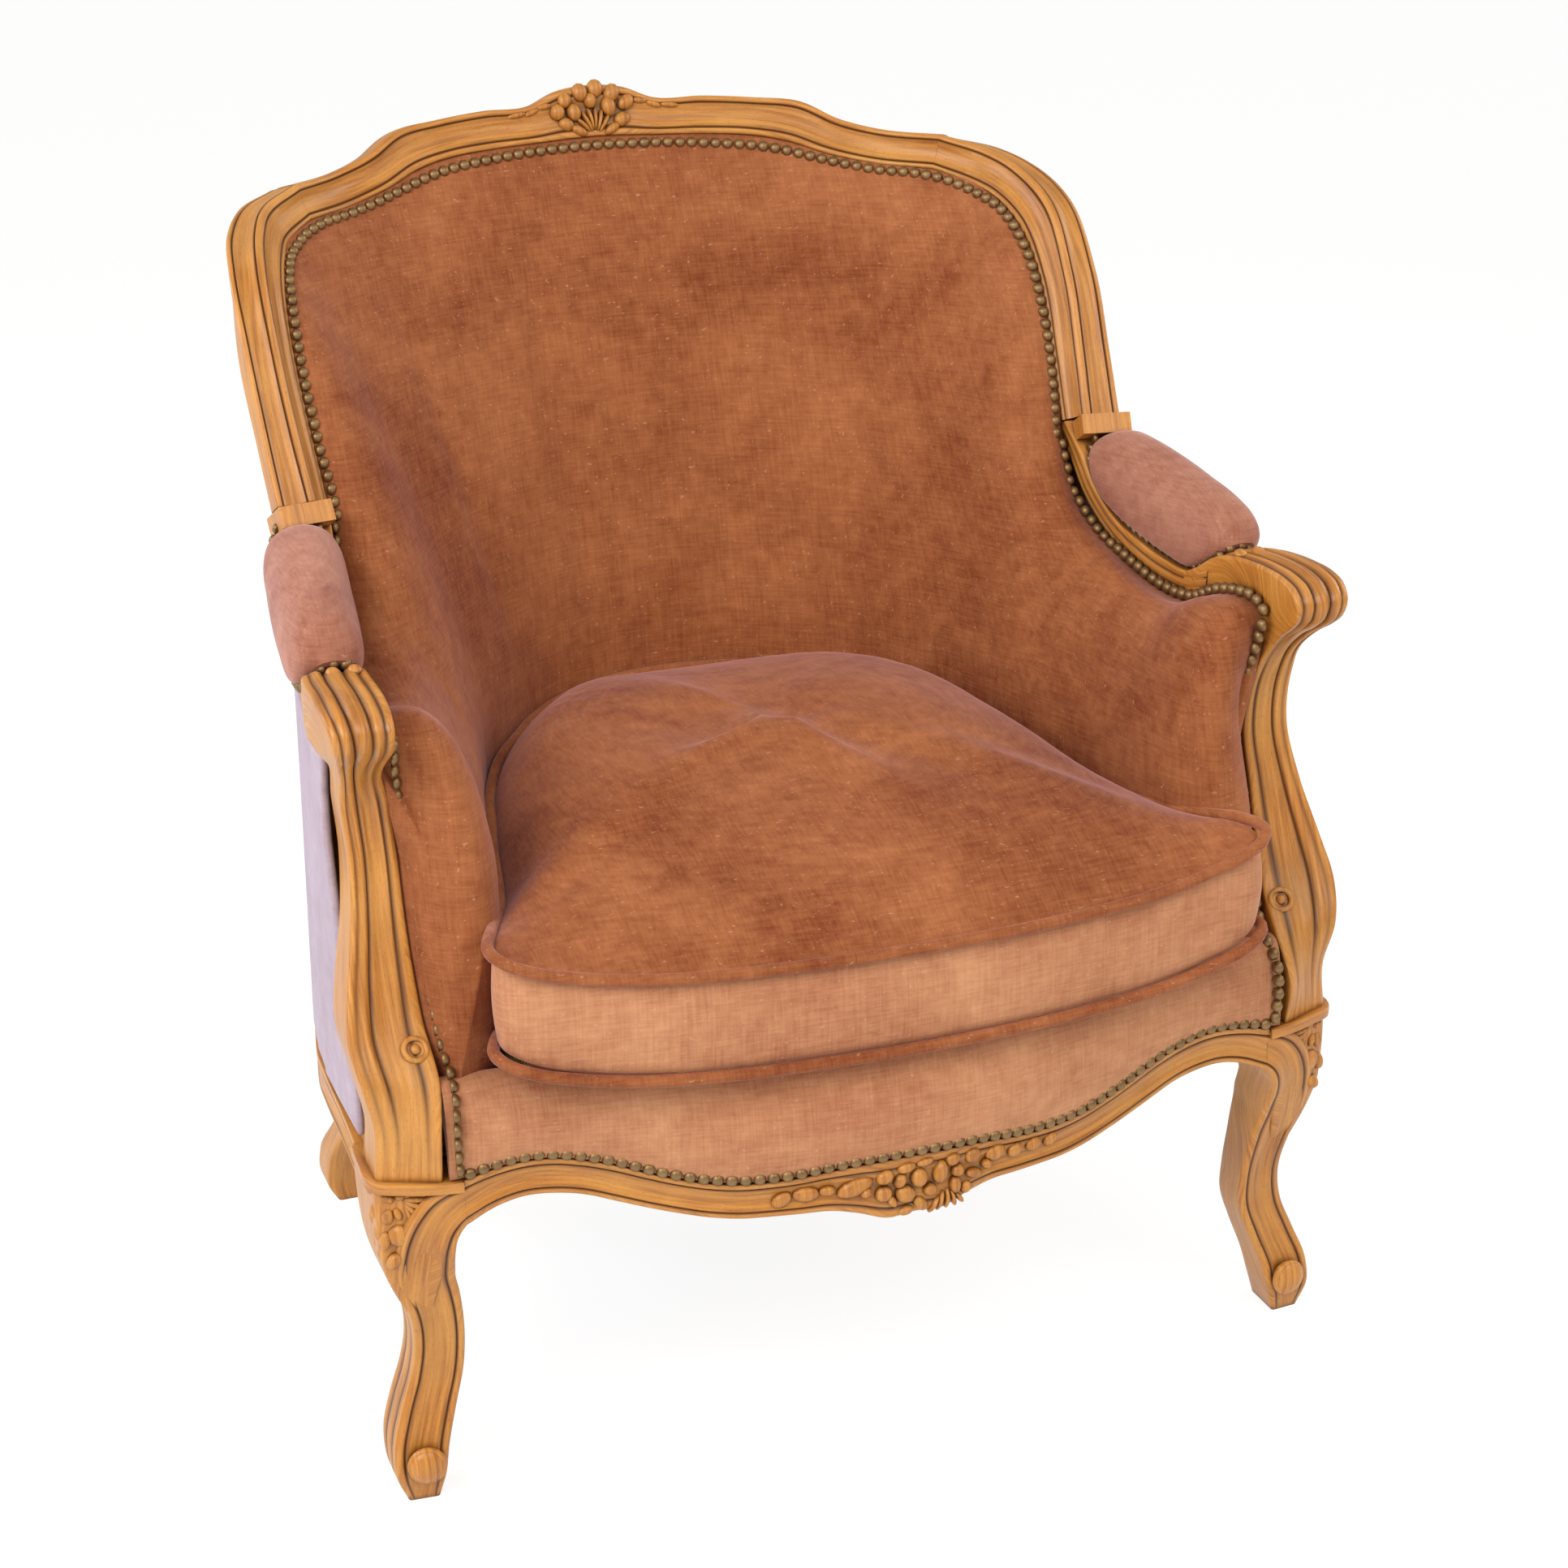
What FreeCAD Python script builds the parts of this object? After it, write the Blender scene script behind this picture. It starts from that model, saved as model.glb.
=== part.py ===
# Bergere armchair: moulded show-wood frame, webbed seat, padded bucket back and arms,
# two armrest pads and a loose boxed cushion with piped seams. Millimetres, +Z up, sitter faces -Y.
import FreeCAD, Part
import math
import os

Vector = FreeCAD.Vector
doc = FreeCAD.newDocument("bergere")

# Driving dimensions
SIZES = (
    ("draw_shift", 24.4, "from the drawing's cross line back to the middle of the depth"),
    ("knee_half", 393, "centre line to the outer corner of the front knee"),
    ("leg_inner", 330, "centre line to the inner face of the front leg block"),
    ("leg_top", 276, "height of the front leg where the arm support stands on it"),
    ("knee_depth", 74, "front to back of the leg block"),
    ("rail_back", 36, "front to back of a seat rail"),
    ("rail_top", 308, "height of the rails under the stuffing"),
    ("rabbet", 8, "step behind the show-wood strip that holds the cloth"),
    ("rail_bow", 58, "how far the front rail swells forward"),
    ("side_bow", 12, "how far a side rail swells outward"),
    ("back_bow", 34, "how far the back rail swells to the rear"),
    ("post_x", 303, "centre line to the middle of a back post at the rails"),
    ("post_y", 211, "cross line to the middle of a back post at the rails"),
    ("post_side", 42, "thickness of a back post at the rails"),
    ("crest_depth", 28, "thickness of the crest rail behind its face"),
    ("groove", 1.6, "depth of an incised line in the show-wood"),
    ("hollow", 2.4, "depth of the scoop between two incised lines"),
    ("panel", 7, "thickness of an outside panel"),
    ("pad_edge", 6, "thickness of the inside padding at its nailed edge"),
    ("pad_foot", 26, "thickness of the inside padding beside the seat"),
    ("contact", 500, "height where the cushion meets the inside padding"),
    ("deck_low", 314, "underside of the stuffed platform"),
    ("deck_high", 344, "top of the stuffed platform"),
    ("seam_low", 352, "height of the cushion's lower piping at the middle of the front"),
    ("seam_high", 431, "height of the cushion's upper piping at the middle of the front"),
    ("seam_rear", 466, "height of the cushion's upper piping at the rear"),
    ("corner_rise", 29, "how far the cushion's front corners turn up"),
    ("crown", 66, "rise of the cushion above its upper piping"),
    ("piping", 8.6, "diameter of the corded piping"),
    ("cushion_gap", 10, "room between the cushion and the inside padding"),
    ("cover_wall", 5, "thickness of the cushion's velvet, lining and wadding"),
    ("strap_wide", 50, "width of a jute web"),
    ("strap_thick", 1.6, "thickness of a jute web"),
    ("strap_pitch", 88, "spacing of the webs"),
    ("dowel", 9, "diameter of a beech dowel"),
    ("dowel_long", 44, "length of a beech dowel"),
    ("block_high", 28, "height of a corner block"),
)
sheet = doc.addObject("Spreadsheet::Sheet", "sizes")
for row, (alias, value, note) in enumerate(SIZES, start=1):
    sheet.set(f"A{row}", note)
    sheet.set(f"B{row}", str(value))
    sheet.setAlias(f"B{row}", alias)
doc.recompute()
SIZE = {alias: float(sheet.get(alias)) for alias, value, note in SIZES}
HANDS = (1, -1)
made = {}


# Small tools shared by the pieces
def place(name, shape=None, item=None):
    """Keep a piece under its name and move it from the drawing to the chair's own origin."""
    if item is None:
        item = doc.addObject("Part::Feature", name)
        item.Shape = shape
    item.Label = name
    item.Placement = FreeCAD.Placement(Vector(0, -SIZE["draw_shift"], 0), FreeCAD.Rotation())
    made[name] = item
    return item


def both_sides(name, shape):
    """A piece drawn on the right side and its mirror image on the left."""
    place("right_" + name, shape)
    place("left_" + name, shape.mirror(Vector(0, 0, 0), Vector(1, 0, 0)))


def spline(points):
    curve = Part.BSplineCurve()
    curve.interpolate([Vector(*p) for p in points])
    return curve


def blend(value, table):
    """Read a height or width from a short table of (place, size) pairs by a smooth curve."""
    curve = spline([(place_at, size, 0) for place_at, size in table])
    low, high = table[0][0], table[-1][0]
    value = min(max(value, min(low, high)), max(low, high))
    start, end = curve.FirstParameter, curve.LastParameter
    rising = high > low
    for step in range(40):
        middle = (start + end) / 2
        if (curve.value(middle).x < value) == rising:
            start = middle
        else:
            end = middle
    return curve.value((start + end) / 2).y


def spread(low, high, count):
    return [low + (high - low) * i / (count - 1) for i in range(count)]


def outline(*runs):
    """A closed face in which a run of two points is straight and a longer run is a curve."""
    edges = []
    for run in runs:
        points = [Vector(*p) for p in run]
        if len(points) == 2:
            edges.append(Part.makeLine(points[0], points[1]))
        else:
            edges.append(spline(run).toShape())
    return Part.Face(Part.Wire(Part.__sortEdges__(edges)))


def loft(sections, straight=False):
    """A solid through polygon sections with equal corners: each corner runs on one smooth curve."""
    middles = [sum(section, Vector()) * (1.0 / len(section)) for section in sections]
    marks = [0.0]
    for first, second in zip(middles, middles[1:]):
        marks.append(marks[-1] + max((second - first).Length, 0.5))
    rails = []
    for corner in zip(*sections):
        if straight or len(sections) == 2:
            rails.append(Part.makePolygon(corner) if len(corner) > 2 else Part.makeLine(*corner))
        else:
            curve = Part.BSplineCurve()
            curve.interpolate(Points=list(corner), Parameters=marks)
            rails.append(curve.toShape())
    faces = [Part.makeRuledSurface(near, far) for near, far in zip(rails, rails[1:] + rails[:1])]
    for end in (sections[0], sections[-1]):
        faces.append(Part.Face(Part.makePolygon(list(end) + [end[0]])))
    parts = [face for shape in faces for face in shape.Faces]
    shell = Part.makeShell(parts)
    shell.sewShape()
    solid = Part.makeSolid(shell)
    if solid.Volume < 0:
        solid.reverse()
    return solid


def moulded(near, far, lift, depth_in=1.0):
    """Points across a show-wood face: a bead, an incised line, a scoop, an incised line, a bead."""
    across = far - near
    cut = SIZE["groove"] * depth_in
    dip = SIZE["hollow"] * depth_in
    profile = ((0.0, 0), (0.15, 0), (0.20, -cut), (0.25, -0.3 * cut), (0.5, -dip),
               (0.75, -0.3 * cut), (0.80, -cut), (0.85, 0), (1.0, 0))
    return [near + across * u + lift * v for u, v in profile]


def flatten(points, middle, along):
    """Bring a section's points into the plane through its middle, square to the member."""
    along = Vector(along).normalize()
    return [p - along * (p - middle).dot(along) for p in points]


# Dowels first, because the members they join are bored for them. Each row is where a pin starts
# and which way it runs; every pin lies half in each of its two members.
DOWELS = (
    ((308, -268, 248), (1, 0, 0)), ((308, -268, 266), (1, 0, 0)),
    ((370, -235, 249), (0, 1, 0)), ((370, -235, 265), (0, 1, 0)),
    ((304, 168, 254), (0, 1, 0)), ((304, 168, 277), (0, 1, 0)),
    ((260, 214, 266), (1, 0, 0)), ((260, 214, 288), (1, 0, 0)),
    ((378, -252, 254), (0, 0, 1)), ((369, -200, 551), (0, 0, 1)),
)


def dowels():
    pins = []
    for start, way in DOWELS:
        for hand in HANDS:
            pin = doc.addObject("Part::Cylinder", "dowel_pin")
            pin.setExpression("Radius", "sizes.dowel / 2")
            pin.setExpression("Height", "sizes.dowel_long")
            turn = FreeCAD.Rotation(Vector(0, 0, 1), Vector(hand * way[0], way[1], way[2]))
            pin.Placement = FreeCAD.Placement(Vector(hand * start[0], start[1], start[2]), turn)
            pins.append(pin)
    group = doc.addObject("Part::Compound", "frame_dowels")
    group.Links = pins
    return place("frame_dowels", item=group)


pins = dowels()
doc.recompute()
bores = pins.Shape.copy()
bores.Placement = FreeCAD.Placement()


def bored(shape):
    """The shape with the holes for the dowels that reach into it."""
    return shape.cut(bores)


# Crest rail and uprights: one moulding that runs from the middle of the crest to the arm.
# Each row is a place along it: the nailed inner edge, the ridge, and the outer edge.
CREST = (
    ((0, 369, 914), (0, 382, 957)),
    ((28, 368, 913), (29, 380, 954)),
    ((54, 365, 912), (55, 375, 944)),
    ((98, 358, 911), (100, 369, 943)),
    ((140, 347, 908), (144, 357, 940)),
    ((172, 334, 901), (181, 343, 936)),
    ((201, 317, 890), (211, 325, 921)),
    ((236, 297, 882), (243, 307, 912)),
    ((280, 263, 878), (285, 269, 909)),
)
UPRIGHT = (
    ((280, 263, 878), (285, 269, 909), (307, 290, 901)),
    ((300, 240, 869), (317, 240, 898), (343, 250, 892)),
    ((312, 207, 859), (331, 206, 886), (360, 205, 877)),
    ((321, 166, 830), (340, 162, 862), (367, 160, 853)),
    ((323, 132, 781), (341, 124, 810), (367, 118, 803)),
    ((320, 106, 732), (337, 90, 745), (364, 84, 740)),
    ((318, 86, 694), (332, 65, 698), (362, 62, 698)),
)


def crest_section(inner, ridge, along):
    """Front face with its moulding, then the top, and the back face."""
    inner, ridge = Vector(*inner), Vector(*ridge)
    lift = Vector(along).cross(ridge - inner).normalize()
    back = lift * -SIZE["crest_depth"]
    face = moulded(inner, ridge, lift)
    points = face + [ridge + back, (ridge + inner) * 0.5 + back, inner + back]
    return flatten(points, ridge, along)


def upright_section(inner, ridge, outer, along, share):
    """Inner face, main face with its moulding, and the square back; share runs 0 to 1 downwards."""
    inner, ridge, outer = Vector(*inner), Vector(*ridge), Vector(*outer)
    lift_in = Vector(along).cross(ridge - inner).normalize()
    lift_out = Vector(along).cross(outer - ridge).normalize()
    points = moulded(inner, ridge, lift_in, 0.6 + 0.4 * (1 - share))
    points += moulded(ridge, outer, lift_out, min(1.0, share * 4))[1:]
    thick = (ridge - inner).Length * (0.5 + 0.35 * share)
    points += [outer - lift_out * thick, inner + (outer - ridge) * (1 - 0.38 * share)]
    return flatten(points, ridge, along)


SEAM_ALONG = Vector(0.70, -0.70, -0.14)
END_ALONG = Vector(-0.08, -0.46, -0.88)


def crest_rail():
    inner = spline([p[0] for p in CREST])
    ridge = spline([p[1] for p in CREST])
    half = []
    for index, (low, high) in enumerate(CREST):
        if index == 0:
            along = Vector(1, 0, 0)
        elif index == len(CREST) - 1:
            along = SEAM_ALONG
        else:
            after, before = Vector(*CREST[index + 1][0]), Vector(*CREST[index - 1][0])
            along = (after - before).normalize()
        half.append(crest_section(low, high, along))
    mirrored = [[Vector(-p.x, p.y, p.z) for p in section] for section in half[:0:-1]]
    return loft(mirrored + half)


def upright():
    sections = []
    for index, (inner, ridge, outer) in enumerate(UPRIGHT):
        if index == 0:
            along = SEAM_ALONG
        elif index == len(UPRIGHT) - 1:
            along = END_ALONG
        else:
            after, before = Vector(*UPRIGHT[index + 1][1]), Vector(*UPRIGHT[index - 1][1])
            along = (after - before).normalize()
        share = index / (len(UPRIGHT) - 1.0)
        sections.append(upright_section(inner, ridge, outer, along, share))
    return loft(sections)


crest = crest_rail()
place("crest_rail", crest)
right_upright = upright()
both_sides("upright", right_upright)

# Arm: sawn to a side pattern and a plan pattern, with the nose that curls over the support
ARM_TOP = ((66, 696), (52, 668), (36, 646), (8, 626), (-30, 614), (-72, 606), (-112, 606))
ARM_LOW = ((-150, 598), (-112, 585), (-72, 583), (-30, 590), (0, 600), (30, 614), (56, 636),
           (74, 664), (84, 690))
NOSE_TOP = ((-112, 606), (-132, 622), (-160, 631), (-200, 634), (-236, 633), (-258, 627),
            (-265, 616), (-256, 601), (-238, 589), (-222, 573))
BLOCK = 18.0


def arm():
    side = outline([(300, y, z) for y, z in ARM_TOP], [(300, y, z) for y, z in NOSE_TOP],
                   [(300, -222, 573), (300, -180, 573)],
                   [(300, -180, 573), (300, -172, 590), (300, -150, 598)],
                   [(300, y, z) for y, z in ARM_LOW],
                   [(300, 84, 690), (300, 66, 696)])
    plan = outline([(318, 100, 500), (330, -20, 500), (340, -118, 500), (350, -180, 500),
                    (352, -290, 500)],
                   [(352, -290, 500), (401, -290, 500)],
                   [(401, -290, 500), (400, -215, 500), (388, -118, 500), (372, -20, 500),
                    (362, 100, 500)],
                   [(362, 100, 500), (318, 100, 500)])
    front = outline([(300, -300, 720), (300, -300, 640)],
                    [(300, -300, 640), (318, -300, 618), (340, -300, 602), (352, -300, 590),
                     (355, -300, 573)],
                    [(355, -300, 573), (386, -300, 573)],
                    [(386, -300, 573), (392, -300, 588), (401, -300, 606), (412, -300, 640)],
                    [(412, -300, 640), (412, -300, 720)], [(412, -300, 720), (300, -300, 720)])
    blank = side.extrude(Vector(120, 0, 0)).common(plan.extrude(Vector(0, 0, 300)))
    shaped = blank.cut(Part.makeBox(120, 200, 100, Vector(300, -300, 540)).cut(
        front.extrude(Vector(0, 250, 0))))
    return shaped


def band_block():
    """The plain squared band between the upright and the arm, with its long edges eased."""
    along = Vector(END_ALONG).normalize()
    wide = Vector(1, -0.12, 0).normalize()
    wide = (wide - along * wide.dot(along)).normalize()
    deep = along.cross(wide)
    if deep.y < 0:
        deep = deep * -1
    corner = Vector(322, 57, 699) - deep * 6
    wires = []
    for step, ease in ((0, 2), (2, 0), (BLOCK - 2, 0), (BLOCK, 2)):
        near = corner + along * step + (wide + deep) * ease
        a, b = wide * (43 - 2 * ease), deep * (38 - 2 * ease)
        wires.append([near, near + a, near + a + b, near + b])
    return loft(wires, straight=True)


right_arm = arm().fuse(band_block()).cut(right_upright).removeSplitter()

# Arm support: height, inner edge (x, y), outer edge (x, y) and thickness behind the face
SUPPORT = (
    (573, (355, -222), (386, -222), 42), (545, (348, -208), (384, -208), 38),
    (505, (344, -203), (381, -208), 38), (460, (344, -215), (386, -223), 38),
    (415, (343, -230), (396, -242), 42), (385, (342, -244), (401, -257), 46),
    (350, (340, -276), (396, -272), 54), (315, (345, -292), (389, -267), 53),
    (SIZE["leg_top"], (345, -285), (391, -268), 54),
)
# Front leg, in the same way
LEG = (
    (SIZE["leg_top"], (SIZE["leg_inner"], -287), (SIZE["knee_half"], -268), SIZE["knee_depth"]),
    (236, (SIZE["leg_inner"], -285), (SIZE["knee_half"], -268), SIZE["knee_depth"]),
    (211, (338, -277), (391, -268), 60), (187, (336, -269), (383, -262), 50),
    (159, (331, -263), (372, -256), 42), (126, (329, -255), (367, -249), 39),
    (97, (331, -251), (371, -247), 40), (70, (339, -255), (381, -251), 42),
    (42, (348, -263), (390, -260), 44), (22, (352, -266), (390, -264), 42),
    (0, (358, -262), (382, -260), 36),
)


def turned_face(rows, depth_in):
    """A member whose sections are level: a moulded face, turned a little outward, and its sides."""
    sections = []
    for height, inner, outer, thick in rows:
        near = Vector(inner[0], inner[1], height)
        far = Vector(outer[0], outer[1], height)
        lift = Vector(0, 0, 1).cross(far - near).normalize() * -1
        if lift.y > 0:
            lift = lift * -1
        ease = min(4.0, thick * 0.1)
        back_far = far + Vector(0, thick, 0)
        back_near = near + Vector(0, thick, 0)
        side = (far - near).normalize()
        points = moulded(near, far, lift, depth_in)
        points += [back_far - Vector(0, ease, 0), back_far - side * ease]
        points += [back_near + side * ease, back_near - Vector(0, ease, 0)]
        sections.append(points)
    return loft(sections)


support = turned_face(SUPPORT, 1.0)
both_sides("arm", bored(right_arm))
both_sides("arm_support", bored(support))
leg = turned_face(LEG, 0.8)
low_zone = Part.makeBox(60, 200, 60, Vector(SIZE["leg_inner"] - 60, -320, 226))
rear_zone = Part.makeBox(200, 80, 60, Vector(300, -213, 226))
leg = leg.cut(low_zone).cut(rear_zone)
toe = Part.makeCylinder(15, 14, Vector(368, -257, 24), Vector(-0.1, -1, 0.12))
leg = leg.fuse(toe).removeSplitter()
both_sides("front_leg", bored(leg))

# Back post: rear cabriole leg below the rails, straight raked stile above, up to the crest
POST = (
    (0, 309, 246, 17), (12, 313, 251, 20), (36, 312, 249, 21), (76, 303, 230, 18),
    (126, 297, 216, 18), (180, 299, 209, 20),
    (236, SIZE["post_x"], SIZE["post_y"], SIZE["post_side"] / 2),
    (SIZE["rail_top"] + 2, SIZE["post_x"], SIZE["post_y"], SIZE["post_side"] / 2),
    (420, 305, 215, 18), (600, 306, 236, 16), (780, 304, 266, 15), (884, 301, 287, 14),
)


def post():
    sections = []
    for height, x, y, half in POST:
        ease = half * 0.22
        ring = []
        for sx, sy in ((-1, -1), (1, -1), (1, 1), (-1, 1)):
            corner = Vector(x + sx * half, y + sy * half, height)
            first = Vector(-sx * ease, 0, 0)
            second = Vector(0, -sy * ease, 0)
            ring += [corner + second, corner + first] if sx * sy > 0 else [corner + first, corner + second]
        sections.append(ring)
    half = SIZE["post_side"] / 2
    seat_side = Part.makeBox(80, 60, 90, Vector(270, SIZE["post_y"] - half - 60, 226))
    seat_back = Part.makeBox(60, 120, 90, Vector(SIZE["post_x"] - half - 60, 180, 226))
    return loft(sections).cut(seat_side).cut(seat_back).cut(crest).cut(right_upright)


right_post = post()
both_sides("back_post", bored(right_post))

# Seat rails: a moulded strip of show-wood below, and the plain rail rising behind its rabbet
FRONT_LOW = ((0, 210), (28, 209), (52, 219), (86, 221), (142, 222), (204, 237), (250, 252),
             (300, 252), (330, 238))
FRONT_HIGH = ((0, 258), (54, 256), (100, 251), (142, 251), (180, 259), (230, 276), (273, 284),
              (302, 282), (330, 274))
SIDE_LOW = ((0, 236), (60, 250), (140, 250), (210, 238), (280, 250), (350, 250), (404, 236))
BACK_LOW = ((0, 236), (70, 248), (180, 246), (282, 236))


def front_path(x):
    swell = 0.5 + 0.5 * math.cos(math.pi * abs(x) / SIZE["leg_inner"])
    return Vector(x, -287 - SIZE["rail_bow"] * swell, 0)


def rail(path, stations, low, high, rear=None):
    """Sections square to a level path; the face is on the path, and the rail lies behind it."""
    sections = []
    for station in stations:
        here = path(station)
        along = path(station + 0.5) - path(station - 0.5)
        if station in (stations[0], stations[-1]):
            along = Vector(*rear) if rear else along
        along.normalize()
        inward = Vector(0, 0, 1).cross(along)
        if inward.dot(here) > 0:
            inward = inward * -1
        up = Vector(0, 0, 1)
        bottom, top = low(station), high(station)
        face = moulded(here + up * bottom, here + up * top, inward * -1)
        step = here + inward * SIZE["rabbet"]
        back = here + inward * SIZE["rail_back"]
        points = face + [step + up * top, step + up * SIZE["rail_top"]]
        points += [back + up * SIZE["rail_top"], back + up * (bottom + 3)]
        sections.append(points)
    return loft(sections)


front = rail(front_path, spread(-330, 330, 25), lambda s: blend(abs(s), FRONT_LOW),
             lambda s: blend(abs(s), FRONT_HIGH), (1, 0, 0))
place("front_seat_rail", bored(front))

SIDE_FRONT, SIDE_REAR = Vector(389, -213, 0), Vector(322, 190, 0)


def side_path(run):
    share = run / 404.0
    bow = SIZE["side_bow"] * math.sin(math.pi * share) * 2
    return SIDE_FRONT + (SIDE_REAR - SIDE_FRONT) * share + Vector(bow, 0, 0)


side = rail(side_path, spread(0, 404, 15), lambda s: blend(s, SIDE_LOW),
            lambda s: blend(s, SIDE_LOW) + 30, (0, 1, 0))
both_sides("side_rail", bored(side))


def back_path(x):
    return Vector(x, 232 + SIZE["back_bow"] * math.cos(math.pi * x / 564.0), 0)


back = rail(back_path, spread(-282, 282, 15), lambda s: blend(abs(s), BACK_LOW),
            lambda s: blend(abs(s), BACK_LOW) + 30, (1, 0, 0))
place("back_seat_rail", bored(back))

# The plan of the seat well: where the inside padding meets the cushion, from the rear
# middle round to the front corner, beside the nailed top edge of the padding.
WELL = (
    ((0, 369, 911), (0, 230)), ((94, 358, 908), (74, 216)), ((152, 341, 902), (118, 188)),
    ((198, 319, 887), (148, 158)), ((240, 295, 877), (170, 127)), ((286, 256, 869), (190, 98)),
    ((309, 207, 854), (204, 72)), ((319, 150, 803), (214, 48)), ((318, 110, 738), (222, 26)),
    ((313, 86, 687), (230, 0)),
)
ARM_WELL = (
    ((313, 86, 687), (230, 0)), ((314, 52, 629), (238, -34)), ((324, -16, 594), (249, -76)),
    ((327, -72, 581), (257, -112)), ((333, -117, 579), (264, -146)), ((340, -160, 592), (274, -185)),
    ((342, -196, 592), (290, -231)),
)


def pad_section(top, foot, bulge):
    """A level-footed section of the padding in the upright plane through its edge and its foot."""
    edge = Vector(top[0], top[1], 0)
    well = Vector(foot[0], foot[1], 0)
    inward = (well - edge).normalize()
    reach = (well - edge).Length
    up = Vector(0, 0, 1)
    high, mid = top[2], SIZE["contact"]
    rise = high - mid

    def at(run, height):
        return edge + inward * run + up * height

    thick = SIZE["pad_edge"]
    return [at(0, high), at(reach * 0.30 + bulge, mid + rise * 0.62),
            at(reach * 0.68 + bulge, mid + rise * 0.28), at(reach, mid),
            at(reach, SIZE["deck_low"]), at(reach - SIZE["pad_foot"], SIZE["deck_low"]),
            at(reach - SIZE["pad_foot"], mid - 30),
            at(reach * 0.30 - thick * 2, mid + rise * 0.55), at(-thick, high - 6)]


half_back = [pad_section(top, foot, 10) for top, foot in WELL]
mirror_back = [[Vector(-p.x, p.y, p.z) for p in s] for s in half_back[:0:-1]]
inside_back = loft(mirror_back + half_back)
inside_arm = loft([pad_section(top, foot, 10) for top, foot in ARM_WELL])
place("inside_back_pad", inside_back)
both_sides("inside_arm_pad", inside_arm)

# Cushion: sections from side to side, each a closed outline with crown and bowed sides
CUSHION_HALF = 304.0
FRONT_EARS = ((293, -262), (304, -290))
WELL_EDGE = [foot for top, foot in WELL] + [foot for top, foot in ARM_WELL[1:]]


def rear_edge(inset):
    """The well's edge moved in square to itself, then the cushion's free front corner."""
    moved = [(0, WELL_EDGE[0][1] - inset)]
    for before, here, after in zip(WELL_EDGE, WELL_EDGE[1:], WELL_EDGE[2:]):
        run = Vector(after[0] - before[0], after[1] - before[1], 0).normalize()
        moved.append((here[0] + run.y * inset, here[1] - run.x * inset))
    return moved + [(x - inset * 0.2, y - inset * 0.2) for x, y in FRONT_EARS]


def cushion_sizes(x, inset=0):
    reach = abs(x) / CUSHION_HALF
    turned = SIZE["corner_rise"] * reach ** 5
    front = -318 - 34 * math.cos(math.pi / 2 * reach) + inset
    rear = max(blend(abs(x), rear_edge(SIZE["cushion_gap"] + inset)), front + 8)
    rear_rise = (SIZE["seam_rear"] - SIZE["seam_high"]) * (rear - front) / 580.0
    return front, rear, SIZE["seam_low"] + turned, SIZE["seam_high"] + turned, rear_rise, reach


def cushion_section(x, inset):
    """One closed outline in the plane x; inset draws the stuffing inside the cover."""
    front, rear, low, high, rear_rise, reach = cushion_sizes(x, inset)
    low = low + inset
    high = high - inset * 0.4
    deep = rear - front
    crown = max(SIZE["crown"] * (1 - reach ** 2.6), 5) - inset * 0.6
    top = []
    for share in (0.10, 0.28, 0.5, 0.72, 0.90):
        swell = 1 - abs(2 * share - 1) ** 2.4
        top.append((front + deep * share, high + rear_rise * share + crown * swell))
    bow = min(6.0, deep * 0.06)
    ring = [(front + bow * 0.5, low), (front - bow, (low + high) / 2), (front + bow * 0.3, high)]
    ring += top + [(rear, high + rear_rise), (rear + 0.5, (low + high) / 2), (rear - bow, low)]
    return [Vector(x, y, z) for y, z in ring]


def cushion_solid(inset):
    stations = [-303, -296, -284, -266, -240, -205, -160, -105, -50, 0, 50, 105, 160, 205, 240, 266,
                284, 296, 303]
    shrink = (CUSHION_HALF - inset * 1.6) / CUSHION_HALF
    return loft([cushion_section(x * shrink, inset) for x in stations])


cover = cushion_solid(0)
core = cushion_solid(SIZE["cover_wall"])
place("cushion_core", core)
place("cushion_cover", cover.cut(core))


# Corded piping: six-sided cords that follow the two seams of the cushion just outside the cover
def seam_point(x, upper, at_rear):
    front, rear, low, high, rear_rise, reach = cushion_sizes(x)
    if at_rear:
        return Vector(x, rear, high + rear_rise if upper else low)
    return Vector(x, front, high if upper else low)


def piping_ring(upper):
    across = [-302, -298, -288, -262, -220, -165, -100, -35, 35, 100, 165, 220, 262, 288, 298, 302]
    path = [seam_point(x, upper, False) for x in across]
    path += [seam_point(x, upper, True) for x in across[::-1]]
    rings = []
    radius = SIZE["piping"] / 2
    for index, seam in enumerate(path):
        along = (path[(index + 1) % len(path)] - path[index - 1]).normalize()
        side = along.cross(Vector(0, 0, 1)).normalize()
        up = side.cross(along)
        here = seam + side * radius
        rings.append([here + side * (radius * math.cos(turn)) + up * (radius * math.sin(turn))
                      for turn in (math.pi * k / 3 for k in range(6))])
    faces = []
    for index, ring in enumerate(rings):
        after = rings[(index + 1) % len(rings)]
        for k in range(6):
            a, b, c, d = ring[k], ring[(k + 1) % 6], after[(k + 1) % 6], after[k]
            faces.append(Part.Face(Part.makePolygon([a, b, c, a])))
            faces.append(Part.Face(Part.makePolygon([a, c, d, a])))
    shell = Part.makeShell(faces)
    shell.sewShape()
    solid = Part.makeSolid(shell)
    if solid.Volume < 0:
        solid.reverse()
    return solid


place("cushion_top_piping", piping_ring(True))
place("cushion_bottom_piping", piping_ring(False))

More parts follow.
